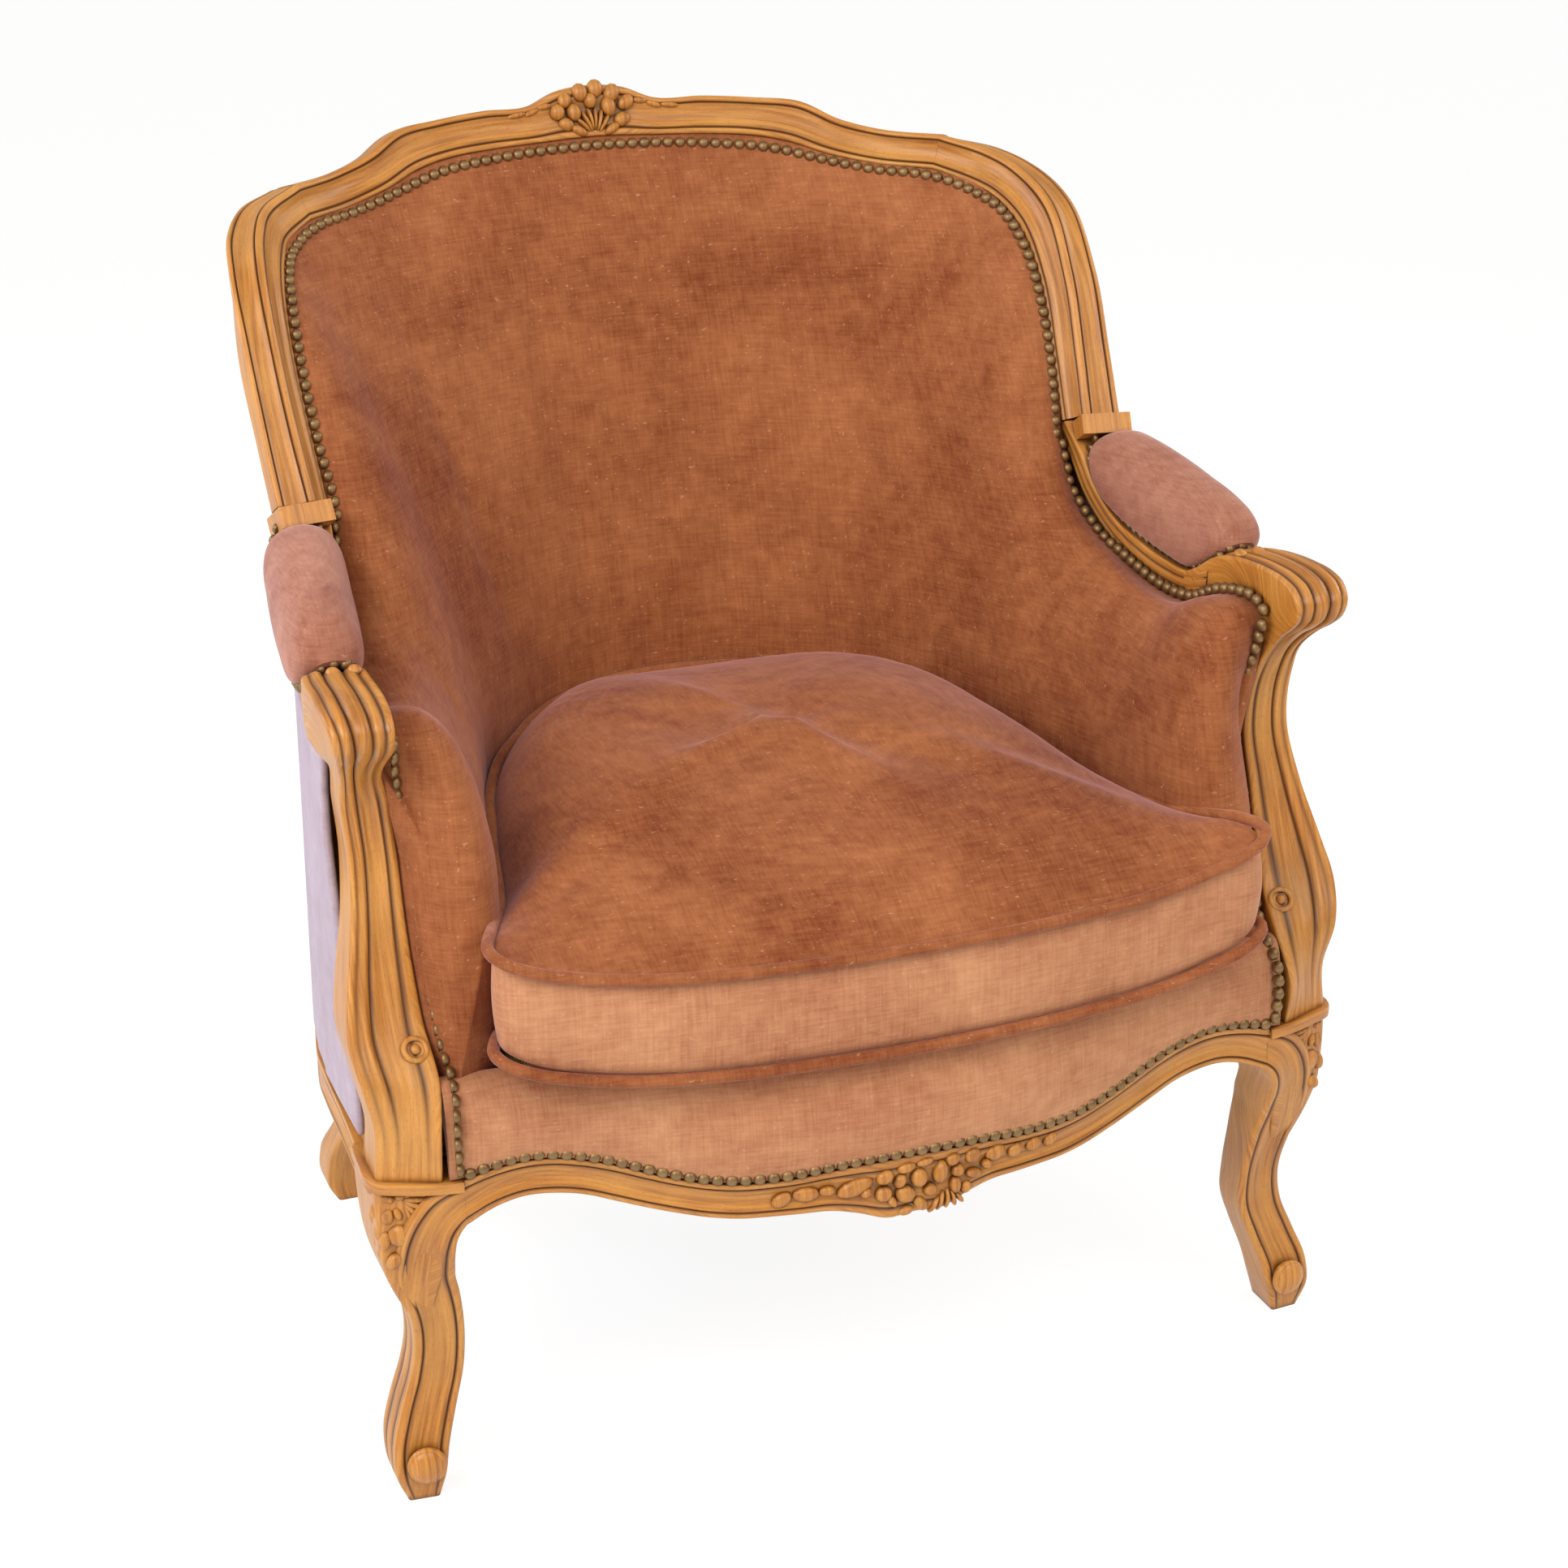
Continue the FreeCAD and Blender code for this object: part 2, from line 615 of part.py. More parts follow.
# Padded front border: velvet over a roll, between the show-wood strip and the platform
def border_section(x):
    face = front_path(x).y
    top = blend(abs(x), FRONT_HIGH) + 0.6
    low, high = SIZE["deck_low"] - 1, SIZE["deck_high"]
    ring = [(face + 1, top), (face - 4, (top + high) / 2 - 6), (face - 2, high - 18),
            (face + 6, high - 4), (face + 20, high + 2), (face + 34, high + 1), (face + 34, low),
            (face + SIZE["rabbet"] - 0.6, low), (face + SIZE["rabbet"] - 0.6, top)]
    return [Vector(x, y, z) for y, z in ring]


place("front_border", loft([border_section(x) for x in spread(-326, 326, 17)]))


# Armrest pad: height of its seat on the arm, then its crown, and its width there
ARM_PAD = (
    (52, (52, 674), 336, 357), (43, (46, 679), 331, 365), (28, (34, 684), 329, 368),
    (4, (6, 682), 332, 371), (-32, (-32, 676), 338, 376), (-72, (-73, 669), 343, 381),
    (-104, (-110, 662), 347, 385), (-122, (-133, 655), 350, 384), (-136, (-146, 643), 354, 380),
)


def arm_height(y):
    """The top of the arm under the pad, at a place along it."""
    return blend(y, NOSE_TOP[:5] if y < NOSE_TOP[0][0] else ARM_TOP)


def armrest_section(place_at, crest_at, near, far):
    seat = arm_height(place_at) + 2.2
    low = Vector(near, place_at, seat)
    rise = Vector(0, crest_at[0] - place_at, crest_at[1] - seat)
    wide = Vector(far - near, 0, 0)
    shape = ((0.04, 0), (-0.05, 0.22), (-0.05, 0.5), (0.07, 0.8), (0.28, 0.96), (0.5, 1.0),
             (0.72, 0.96), (0.93, 0.8), (1.05, 0.5), (1.05, 0.22), (0.96, 0))
    return [low + wide * u + rise * v for u, v in shape]


both_sides("armrest_pad", loft([armrest_section(*row) for row in ARM_PAD]))

# Outside panels: stretched cloth over board between the frame members
def outside_back():
    tops = [(abs(low[0]), Vector(*low) - Vector(0, 0, 4)) for low, high in CREST]
    rear = [(reach, point.y + SIZE["crest_depth"] * 0.94 - 3) for reach, point in tops]
    head = [(reach, point.z - 5) for reach, point in tops]
    sections = []
    for x in spread(-280, 280, 13):
        foot_y = back_path(x).y
        head_y = blend(abs(x), rear) - abs(x / 280.0) ** 3 * 6
        foot_z = blend(abs(x), BACK_LOW) + 31
        head_z = blend(abs(x), head)
        wall = SIZE["panel"]
        waist = 0.45
        belly = 5
        sections.append([
            Vector(x, foot_y, foot_z),
            Vector(x, foot_y + (head_y - foot_y) * waist + belly, foot_z + (head_z - foot_z) * waist),
            Vector(x, head_y, head_z), Vector(x, head_y - wall, head_z),
            Vector(x, foot_y + (head_y - foot_y) * waist + belly - wall,
                   foot_z + (head_z - foot_z) * waist),
            Vector(x, foot_y - wall + 0.5, foot_z)])
    return loft(sections)


place("outside_back_panel", outside_back())

PANEL_HEAD = ((-240, 392), (-170, 388), (-40, 370), (70, 354), (130, 349), (200, 346), (270, 338))
SUPPORT_BACK = ((-210, 286), (-210, 315), (-212.5, 350), (-206.5, 385), (-194.5, 415),
                (-179.5, 460), (-164.5, 505), (-164.5, 545), (-174, 572))
UNDER_ARM = ((-167, 585), (-149, 593.5), (-112, 581), (-72, 579), (-30, 586), (0, 596),
             (30, 610.5), (56, 632), (78, 665), (96, 690))
UNDER_UPRIGHT = ((96, 690), (118, 733), (148, 790), (186, 836), (222, 855), (262, 863))
POST_EDGE = ((262, 863), (247, 780), (217, 600), (195, 420), (188, 310), (188, 286))


def outside_panel():
    wall = Vector(SIZE["panel"], 0, 0)
    foot, head = [], []
    for run in spread(-27, 457, 11):
        y = SIDE_FRONT.y + run
        foot.append(Vector(side_path(run).x + 0.6, y, 270))
        head.append(Vector(blend(y, PANEL_HEAD), y, 880))
    sheet_wall = loft([edge + [p - wall for p in edge[::-1]] for edge in (foot, head)])
    shape = outline([(280, y, z) for y, z in SUPPORT_BACK],
                    [(280, -174, 572), (280, -167, 585)],
                    [(280, y, z) for y, z in UNDER_ARM],
                    [(280, y, z) for y, z in UNDER_UPRIGHT],
                    [(280, y, z) for y, z in POST_EDGE],
                    [(280, 188, 286), (280, -210, 286)])
    return sheet_wall.common(shape.extrude(Vector(130, 0, 0)))


both_sides("outside_panel", outside_panel())


# Flat pieces under the cushion, each a sketched plan padded to its thickness
def plan_body(name, runs, low, thick):
    """A body whose plan is lines and curves; low and thick name the sheet's cells or numbers."""
    body = doc.addObject("PartDesign::Body", name)
    sketch = body.newObject("Sketcher::SketchObject", name + "_plan")
    plane = [f for f in body.Origin.OriginFeatures if f.Role == "XY_Plane"][0]
    sketch.AttachmentSupport = (plane, [""])
    sketch.MapMode = "FlatFace"
    sketch.setExpression("AttachmentOffset.Base.z", low)
    for run in runs:
        points = [Vector(x, y, 0) for x, y in run]
        if len(points) == 2:
            sketch.addGeometry(Part.LineSegment(points[0], points[1]))
        else:
            sketch.addGeometry(spline(points))
    pad = body.newObject("PartDesign::Pad", name + "_pad")
    pad.Profile = sketch
    pad.setExpression("Length", thick)
    doc.recompute()
    return place(name, item=body)


def mirrored_run(run):
    return [(-x, y) for x, y in run[:0:-1]] + list(run)


def closed_plan(run):
    """The rear curve from the left corner round to the right, and a bowed front edge."""
    rear = mirrored_run(run)
    right, left = rear[-1], rear[0]
    middle = (0, right[1] - SIZE["rail_bow"] * 0.9)
    bow = [right, (right[0] * 0.5, (right[1] + middle[1]) / 2 - 4), middle,
           (left[0] * 0.5, (right[1] + middle[1]) / 2 - 4), left]
    return [rear, bow]


DECK_RUN = rear_edge(2)[:-3] + [(281, -218), (283, -245)]
plan_body("seat_deck", closed_plan(DECK_RUN), "sizes.deck_low", "sizes.deck_high - sizes.deck_low")
LINING_RUN = [(0, 236), (150, 214), (250, 188), (282, 165), (318, 60), (335, -60), (338, -175),
              (322, -226)]
plan_body("seat_burlap", closed_plan(LINING_RUN), "sizes.deck_low - 2", "1.2")
DUST_RUN = [(0, 226), (150, 206), (218, 192), (286, 150), (325, 60), (348, -60), (350, -150),
            (324, -214)]
plan_body("dust_cover", closed_plan(DUST_RUN), "sizes.leg_top - sizes.block_high - 1.5", "1.2")

FRONT_BLOCK = ((329.5, -249.5), (268, -249.5), (351.5, -150), (351.5, -212.5), (329.5, -212.5))
REAR_BLOCK = ((281.5, 189.5), (281.5, 195), (236, 195), (299, 136), (283.5, 189.5))


def corner_blocks():
    """Four glued blocks in the corners of the seat frame, one group of solids."""
    solids = []
    for plan in (FRONT_BLOCK, REAR_BLOCK):
        for hand in HANDS:
            points = [Vector(hand * x, y, SIZE["leg_top"] - SIZE["block_high"]) for x, y in plan]
            face = Part.Face(Part.makePolygon(points + [points[0]]))
            solids.append(face.extrude(Vector(0, 0, SIZE["block_high"])))
    return Part.makeCompound(solids)


place("corner_blocks", corner_blocks())


def strap(name, corner, size):
    box = doc.addObject("Part::Box", name)
    box.Placement.Base = corner
    box.Length, box.Width, box.Height = size
    return box


def webbing():
    """Jute webs tacked on the rails: one set from side to side, one from front to rear."""
    straps = []
    wide, pitch, top = SIZE["strap_wide"], SIZE["strap_pitch"], SIZE["rail_top"]
    for index, y in enumerate((-200, -200 + pitch, -200 + 2 * pitch, -200 + 3 * pitch, 146)):
        half = side_path(min(y + 213, 400)).x - 20
        box = strap(f"cross_web_{index}", Vector(-half, y - wide / 2, top + 0.05),
                    (2 * half, wide, SIZE["strap_thick"]))
        straps.append(box)
    for index, x in enumerate((-2 * pitch, -pitch, 0, pitch, 2 * pitch)):
        start = front_path(x).y + 24
        end = back_path(x).y - 20
        box = strap(f"long_web_{index}", Vector(x - wide / 2, start, top + SIZE["strap_thick"] + 0.1),
                    (wide, end - start, SIZE["strap_thick"]))
        straps.append(box)
    for box in straps:
        box.setExpression("Height", "sizes.strap_thick")
    group = doc.addObject("Part::Compound", "seat_webbing")
    group.Links = straps
    return place("seat_webbing", item=group)


webbing()

# Check every object before anything is written
doc.recompute()
for item in doc.Objects:
    if "Invalid" in item.State or "Error" in item.State:
        raise RuntimeError(item.Name + " did not build: " + str(item.State))
for name, item in made.items():
    shape = item.Shape
    if shape.isNull() or not shape.isValid() or not shape.Solids:
        raise RuntimeError(name + " has no sound solid")
    print(name, round(shape.Volume / 1000), "cm3,", len(shape.Solids), "solid")

os.makedirs("parts", exist_ok=True)
for name, item in made.items():
    item.Shape.exportStep("parts/" + name + ".step")
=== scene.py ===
import bpy
import math
import numpy as np
from mathutils import Matrix, Vector


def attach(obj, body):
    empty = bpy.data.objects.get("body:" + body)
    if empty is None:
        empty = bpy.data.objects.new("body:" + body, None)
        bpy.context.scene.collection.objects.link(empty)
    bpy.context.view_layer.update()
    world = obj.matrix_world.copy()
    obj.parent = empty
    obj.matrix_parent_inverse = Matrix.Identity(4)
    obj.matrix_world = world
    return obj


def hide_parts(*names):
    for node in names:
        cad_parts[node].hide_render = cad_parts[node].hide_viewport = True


# A carved beech bergere: moulded frame with waxed antique finish, cinnamon velvet held by rows of
# bronzed nails, two armrest pads and a loose boxed cushion. Metres, +Z up, the sitter faces -Y.
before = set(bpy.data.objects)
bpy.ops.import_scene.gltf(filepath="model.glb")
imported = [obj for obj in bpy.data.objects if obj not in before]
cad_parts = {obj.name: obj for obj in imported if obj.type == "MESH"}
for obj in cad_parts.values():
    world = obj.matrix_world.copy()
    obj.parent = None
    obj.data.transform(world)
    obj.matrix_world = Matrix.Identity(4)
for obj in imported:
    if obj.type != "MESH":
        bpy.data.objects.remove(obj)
bpy.ops.object.select_all(action="DESELECT")
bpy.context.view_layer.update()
scene = bpy.context.scene

# The studio: a pale floor that shows only the soft shadow round the feet, a white surround, and
# plain soft lamps, the largest high on the left as window light falls in a shop.
def node(tree, kind, inputs=None, **settings):
    """Adds a node with its settings; inputs are values or other nodes' outputs."""
    made = tree.nodes.new(kind)
    for key, value in settings.items():
        setattr(made, key, value)
    for key, value in (inputs or {}).items():
        if isinstance(value, bpy.types.NodeSocket):
            tree.links.new(value, made.inputs[key])
        else:
            made.inputs[key].default_value = value
    return made


def linear(colour):
    """An sRGB hex colour such as C68A3E as the linear RGBA that a shader reads."""
    parts = [int(colour[i:i + 2], 16) / 255 for i in (0, 2, 4)]
    return [p / 12.92 if p <= 0.04045 else ((p + 0.055) / 1.055) ** 2.4 for p in parts] + [1.0]


def blank_material(name):
    made = bpy.data.materials.new(name)
    made.use_nodes = True
    made.node_tree.nodes.clear()
    return made


bpy.ops.mesh.primitive_plane_add(size=80, location=(0, 0, 0))
floor = bpy.context.object
floor.name = "studio_floor"
paper = blank_material("white_seamless_paper")
tree = paper.node_tree
rays = node(tree, "ShaderNodeLightPath")
seen = node(tree, "ShaderNodeMath", {0: rays.outputs["Is Camera Ray"], 1: rays.outputs["Is Glossy Ray"]},
            operation="MAXIMUM")
matt = node(tree, "ShaderNodeBsdfDiffuse", {"Color": linear("F4F4F4")})
shade = node(tree, "ShaderNodeBsdfDiffuse", {"Color": linear("8C8C8C")})
glow = node(tree, "ShaderNodeEmission", {"Color": linear("FFFFFF"), "Strength": 0.86})
both = node(tree, "ShaderNodeAddShader", {0: shade.outputs[0], 1: glow.outputs[0]})
mixed = node(tree, "ShaderNodeMixShader", {0: seen.outputs[0], 1: matt.outputs[0], 2: both.outputs[0]})
node(tree, "ShaderNodeOutputMaterial", {"Surface": mixed.outputs[0]})
floor.data.materials.append(paper)

world = bpy.data.worlds.new("studio_world")
scene.world = world
world.use_nodes = True
tree = world.node_tree
tree.nodes.clear()
rays = node(tree, "ShaderNodeLightPath")
shown = node(tree, "ShaderNodeMath", {0: rays.outputs["Is Camera Ray"],
                                      1: rays.outputs["Is Transmission Ray"]},
             operation="MAXIMUM")
fill = node(tree, "ShaderNodeBackground", {"Color": linear("F6F4F2"), "Strength": 0.50})
white = node(tree, "ShaderNodeBackground", {"Color": linear("FFFFFF"), "Strength": 1.0})
mixed = node(tree, "ShaderNodeMixShader", {0: shown.outputs[0], 1: fill.outputs[0], 2: white.outputs[0]})
node(tree, "ShaderNodeOutputWorld", {"Surface": mixed.outputs[0]})

LAMPS = (
    ("window_left", (-2.0, -1.6, 2.3), 1.7, 62, "FFF6EA"),
    ("window_rear_left", (-2.2, 1.2, 1.6), 1.2, 26, "E9EDFF"),
    ("ceiling_front", (0.9, -2.4, 2.6), 1.8, 34, "FFF1DF"),
    ("wall_right", (2.4, 0.2, 1.7), 1.4, 20, "FFF3E6"),
)
for name, place, size, power, colour in LAMPS:
    bpy.ops.object.light_add(type="AREA", location=place)
    lamp = bpy.context.object
    lamp.name = name
    lamp.data.size = size
    lamp.data.energy = power
    lamp.data.color = linear(colour)[:3]
    lamp.rotation_euler = (Vector((0, 0, 0.5)) - Vector(place)).to_track_quat("-Z", "Y").to_euler()

bpy.ops.object.camera_add()
camera = bpy.context.object
camera.name = "photograph_camera"
yaw, pitch, roll = (math.radians(a) for a in (20.12, 20.66, -1.19))
ahead = Vector((math.sin(yaw) * math.cos(pitch), math.cos(yaw) * math.cos(pitch), -math.sin(pitch)))
side = Vector((math.cos(yaw), -math.sin(yaw), 0))
over = side.cross(ahead)
right = side * math.cos(roll) + over * math.sin(roll)
up = over * math.cos(roll) - side * math.sin(roll)
DRAW_SHIFT = 24.4
camera.matrix_world = Matrix(((right.x, up.x, -ahead.x, -0.777),
                              (right.y, up.y, -ahead.y, -2.198 - DRAW_SHIFT / 1000),
                              (right.z, up.z, -ahead.z, 1.313), (0, 0, 0, 1)))
camera.data.sensor_width = 36
camera.data.lens = 3719 / 1932 * 36
camera.data.clip_start = 0.05
scene.camera = camera
scene.view_settings.view_transform = "Standard"

# The show-wood: beech carved, stained honey brown and waxed, with dark old wax left in the cuts and painted
# shade in its recesses.
# Every member is worked to a moulding that follows its curve, so each is drawn as sections along
# its length and keeps two things for the finish: the run of the grain and where old wax collects.
def waxed_beech(name, follows_member):
    made = blank_material(name)
    tree = made.node_tree
    if follows_member:
        run = node(tree, "ShaderNodeUVMap", uv_map="grain").outputs[0]
        stretch = (14, 300, 1)
    else:
        run = node(tree, "ShaderNodeTexCoord").outputs["Object"]
        stretch = (150, 150, 14)
    # growth figure: soft streaks about 3 mm wide and 70 mm long
    figure_at = node(tree, "ShaderNodeMapping", {"Vector": run, "Scale": stretch})
    figure = node(tree, "ShaderNodeTexNoise", {"Vector": figure_at.outputs[0], "Scale": 1.0, "Detail": 5.0,
                                               "Roughness": 0.6, "Distortion": 0.4})
    # flecks: short dark pores about 2 mm long, drawn a little coarser than the real ones so they show
    fleck_scale = (420, 2600, 1) if follows_member else (1500, 1500, 420)
    fleck_at = node(tree, "ShaderNodeMapping", {"Vector": run, "Scale": fleck_scale})
    fleck = node(tree, "ShaderNodeTexNoise", {"Vector": fleck_at.outputs[0], "Scale": 0.55, "Detail": 2.0,
                                              "Roughness": 0.5})
    place = node(tree, "ShaderNodeTexCoord").outputs["Object"]
    cloud = node(tree, "ShaderNodeTexNoise",
                 {"Vector": place, "Scale": 11.0, "Detail": 4.0, "Roughness": 0.6})
    tone = node(tree, "ShaderNodeValToRGB", {"Fac": figure.outputs["Fac"]})
    ramp = tone.color_ramp
    ramp.elements[0].position, ramp.elements[1].position = 0.30, 0.72
    ramp.elements[0].color, ramp.elements[1].color = linear("9A5F22"), linear("D79A47")
    middle = ramp.elements.new(0.5)
    middle.color = linear("C07F33")
    worn = node(tree, "ShaderNodeMapRange",
                {"Value": cloud.outputs["Fac"], "From Min": 0.42, "From Max": 0.68,
                                             "To Min": 0.0, "To Max": 0.42})
    lighter = node(tree, "ShaderNodeMix",
                   {"Factor": worn.outputs[0], 6: tone.outputs[0], 7: linear("E0A858")},
                   data_type="RGBA")
    spot = node(tree, "ShaderNodeMapRange",
                {"Value": fleck.outputs["Fac"], "From Min": 0.60, "From Max": 0.70,
                                             "To Min": 0.0, "To Max": 0.45})
    flecked = node(tree, "ShaderNodeMix",
                   {"Factor": spot.outputs[0], 6: lighter.outputs[2], 7: linear("6E3D14")},
                   data_type="RGBA")
    # old wax painted in the cuts of the moulding, and painted shade: the ambient occlusion darkens every
    # recess and every place where two pieces meet
    corner = node(tree, "ShaderNodeAmbientOcclusion", {"Distance": 0.007}, samples=6)
    painted_shade = node(tree, "ShaderNodeMapRange",
                {"Value": corner.outputs["AO"], "From Min": 0.35, "From Max": 0.85,
                                             "To Min": 0.85, "To Max": 0.0})
    if follows_member:
        cut = node(tree, "ShaderNodeAttribute", attribute_name="patina")
        wax_and_painted_shade = node(tree, "ShaderNodeMath", {0: cut.outputs["Fac"], 1: painted_shade.outputs[0]}, operation="MAXIMUM")
        wax = wax_and_painted_shade.outputs[0]
    else:
        # the plain pieces get only the painted shade, with no wax
        wax = painted_shade.outputs[0]
    # the dark wax colour carries both the real wax in the cuts and the painted shade from occlusion
    colour = node(tree, "ShaderNodeMix", {"Factor": wax, 6: flecked.outputs[2], 7: linear("4A260C")},
                  data_type="RGBA")
    rough = node(tree, "ShaderNodeMapRange", {"Value": cloud.outputs["Fac"], "From Min": 0.3, "From Max": 0.7,
                                              "To Min": 0.36, "To Max": 0.52})
    bump = node(tree, "ShaderNodeBump", {"Height": figure.outputs["Fac"], "Strength": 0.22,
                                         "Distance": 0.0006})
    shader = node(tree, "ShaderNodeBsdfPrincipled",
                  {"Base Color": colour.outputs[2], "Roughness": rough.outputs[0],
                                                     "Normal": bump.outputs[0], "Coat Weight": 0.18,
                                                     "Coat Roughness": 0.3, "IOR": 1.5})
    node(tree, "ShaderNodeOutputMaterial", {"Surface": shader.outputs[0]})
    return made


carved_beech = waxed_beech("waxed_carved_beech", True)
plain_beech = waxed_beech("waxed_plain_beech", False)


def eased(rows, step):
    """Rows of points drawn in millimetres become even rows, step apart, along smooth curves."""
    points = np.array(rows, float)
    gaps = np.linalg.norm(np.diff(points.mean(1), axis=0), axis=1)
    marks = np.concatenate([[0], np.cumsum(np.maximum(gaps, 0.5))])
    slopes = np.gradient(points, marks, axis=0)
    want = np.linspace(0, marks[-1], max(int(marks[-1] / step), 2) + 1)
    first = np.clip(np.searchsorted(marks, want, side="right") - 1, 0, len(marks) - 2)
    span = marks[first + 1] - marks[first]
    t = ((want - marks[first]) / span)[:, None, None]
    span = span[:, None, None]
    return ((2 * t ** 3 - 3 * t ** 2 + 1) * points[first] + (t ** 3 - 2 * t ** 2 + t) * span * slopes[first]
            + (3 * t ** 2 - 2 * t ** 3) * points[first + 1]
            + (t ** 3 - t ** 2) * span * slopes[first + 1]), want


# A moulding: how far across, how far out in millimetres, and how much old wax it holds
COVE = ((0.13, 0, 0.1), (0.155, -0.8, 0.7), (0.175, -1.7, 1), (0.195, -0.8, 0.7), (0.225, -0.3, 0.2),
        (0.30, -1.4, 0.05), (0.40, -2.4, 0.1), (0.50, -2.8, 0.15), (0.60, -2.4, 0.1), (0.70, -1.4, 0.05),
        (0.775, -0.3, 0.2), (0.805, -0.8, 0.7), (0.825, -1.7, 1), (0.845, -0.8, 0.7), (0.87, 0, 0.1))
PLAIN = ((0.25, 0, 0.05), (0.5, 0, 0.05), (0.75, 0, 0.05))


def sections_mesh(name, rows, sides, rounding=3.0, step=5.0):
    """A closed member through rows of corners; sides gives each side's moulding and its depth."""
    points, marks = eased(rows, step)
    middles = points.mean(1)
    runs = np.gradient(middles, axis=0)
    verts, wax, across = [], [], []
    for index, section in enumerate(points):
        centre, run = middles[index], runs[index] / np.linalg.norm(runs[index])
        share = index / (len(points) - 1.0)
        ring, ring_wax = [], []
        count = len(section)
        for k in range(count):
            start, end, after = section[k], section[(k + 1) % count], section[(k + 2) % count]
            way = end - start
            length = np.linalg.norm(way)
            out = np.cross(run, way / length)
            if np.dot(out, (start + end) / 2 - centre) < 0:
                out = -out
            profile, depth = sides[k](share) if callable(sides[k]) else sides[k]
            for u, v, w in profile:
                ring.append(start + way * u + out * v * depth)
                ring_wax.append(w)
            turn = min(rounding, length * 0.11, np.linalg.norm(after - end) * 0.11)
            before = end - way / length * turn
            beyond = end + (after - end) / np.linalg.norm(after - end) * turn
            for t in (0.0, 0.3, 0.7, 1.0):
                ring.append((1 - t) ** 2 * before + 2 * t * (1 - t) * end + t * t * beyond)
                ring_wax.append(0.0)
        verts += ring
        wax += ring_wax
        edge = np.array(ring)
        steps = np.linalg.norm(np.diff(edge, axis=0, append=edge[:1]), axis=1)
        across.append(np.concatenate([[0], np.cumsum(steps)]))
    size = len(verts) // len(points)
    faces, grain = [], []
    for i in range(len(points) - 1):
        for j in range(size):
            a, b = i * size + j, i * size + (j + 1) % size
            faces.append((a, b, b + size, a + size))
            for row, col in ((i, j), (i, j + 1), (i + 1, j + 1), (i + 1, j)):
                grain.append((marks[row] / 1000, across[row][col] / 1000))
    for ring_start, flip in ((0, True), ((len(points) - 1) * size, False)):
        cap = [ring_start + j for j in range(size)]
        faces.append(tuple(cap[::-1] if flip else cap))
        for j in (cap[::-1] if flip else cap):
            grain.append((verts[j][0] / 1000, verts[j][2] / 1000))
    return member_object(name, verts, faces, wax, grain)


def member_object(name, verts, faces, wax, grain):
    mesh = bpy.data.meshes.new(name)
    mesh.from_pydata([(p[0] / 1000, (p[1] - DRAW_SHIFT) / 1000, p[2] / 1000) for p in verts], [], faces)
    mesh.uv_layers.new(name="grain").data.foreach_set("uv", np.array(grain, np.float32).ravel())
    mesh.attributes.new("patina", "FLOAT", "POINT").data.foreach_set("value", np.array(wax, np.float32))
    made = bpy.data.objects.new(name, mesh)
    scene.collection.objects.link(made)
    outward(made)
    return made


def only(piece):
    bpy.ops.object.select_all(action="DESELECT")
    piece.select_set(True)
    bpy.context.view_layer.objects.active = piece


def outward(piece):
    """Faces turned outwards and shaded smooth except over real edges."""
    only(piece)
    bpy.ops.object.mode_set(mode="EDIT")
    bpy.ops.mesh.select_all(action="SELECT")
    bpy.ops.mesh.normals_make_consistent(inside=False)
    bpy.ops.object.mode_set(mode="OBJECT")
    bpy.ops.object.shade_smooth_by_angle(angle=math.radians(48))


def mirrored(piece, name):
    """The same piece for the sitter's other side, as its own mesh."""
    only(piece)
    bpy.ops.object.duplicate()
    twin = bpy.context.object
    twin.name = twin.data.name = name
    bpy.ops.transform.resize(value=(-1, 1, 1), center_override=(0, 0, 0))
    bpy.ops.object.transform_apply(location=True, rotation=True, scale=True)
    bpy.ops.object.mode_set(mode="EDIT")
    bpy.ops.mesh.select_all(action="SELECT")
    bpy.ops.mesh.normals_make_consistent(inside=False)
    bpy.ops.object.mode_set(mode="OBJECT")
    return twin


def finish_pair(piece, twin_name, material, slot, node_name):
    """Finishes a right-hand piece and its mirrored twin; node_name leaves out the side."""
    twin = mirrored(piece, twin_name)
    finish_piece(piece, material, "frame", slot, "right_" + node_name)
    finish_piece(twin, material, "frame", slot, "left_" + node_name)
    return twin


def finish_piece(piece, material, body, slot, *nodes):
    piece.data.materials.clear()
    piece.data.materials.append(material)
    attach(piece, body)
    if nodes:
        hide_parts(*nodes)


def carved_bits(host, bits, wax=0.0):
    """Joins carved bits to the member they are cut from, with the same finish attributes."""
    for bit in bits:
        count = len(bit.data.vertices)
        held = bit.data.attributes.get("patina") or bit.data.attributes.new("patina", "FLOAT", "POINT")
        if wax >= 0:
            held.data.foreach_set("value", np.full(count, wax, np.float32))
        if "grain" not in bit.data.uv_layers:
            layer = bit.data.uv_layers.new(name="grain")
            spots = [bit.data.vertices[loop.vertex_index].co for loop in bit.data.loops]
            layer.data.foreach_set("uv", np.array([(p.z, p.x) for p in spots], np.float32).ravel())
        for layer in [l for l in bit.data.uv_layers if l.name != "grain"]:
            bit.data.uv_layers.remove(layer)
        for face in bit.data.polygons:
            face.use_smooth = True
    only(host)
    for bit in bits:
        bit.select_set(True)
    bpy.ops.object.join()


def lying(turn, lean):
    """Which way a petal runs: turn in degrees from level, lean the change in y for each step in x."""
    level = math.cos(math.radians(turn))
    return Vector((level, lean * level, math.sin(math.radians(turn))))


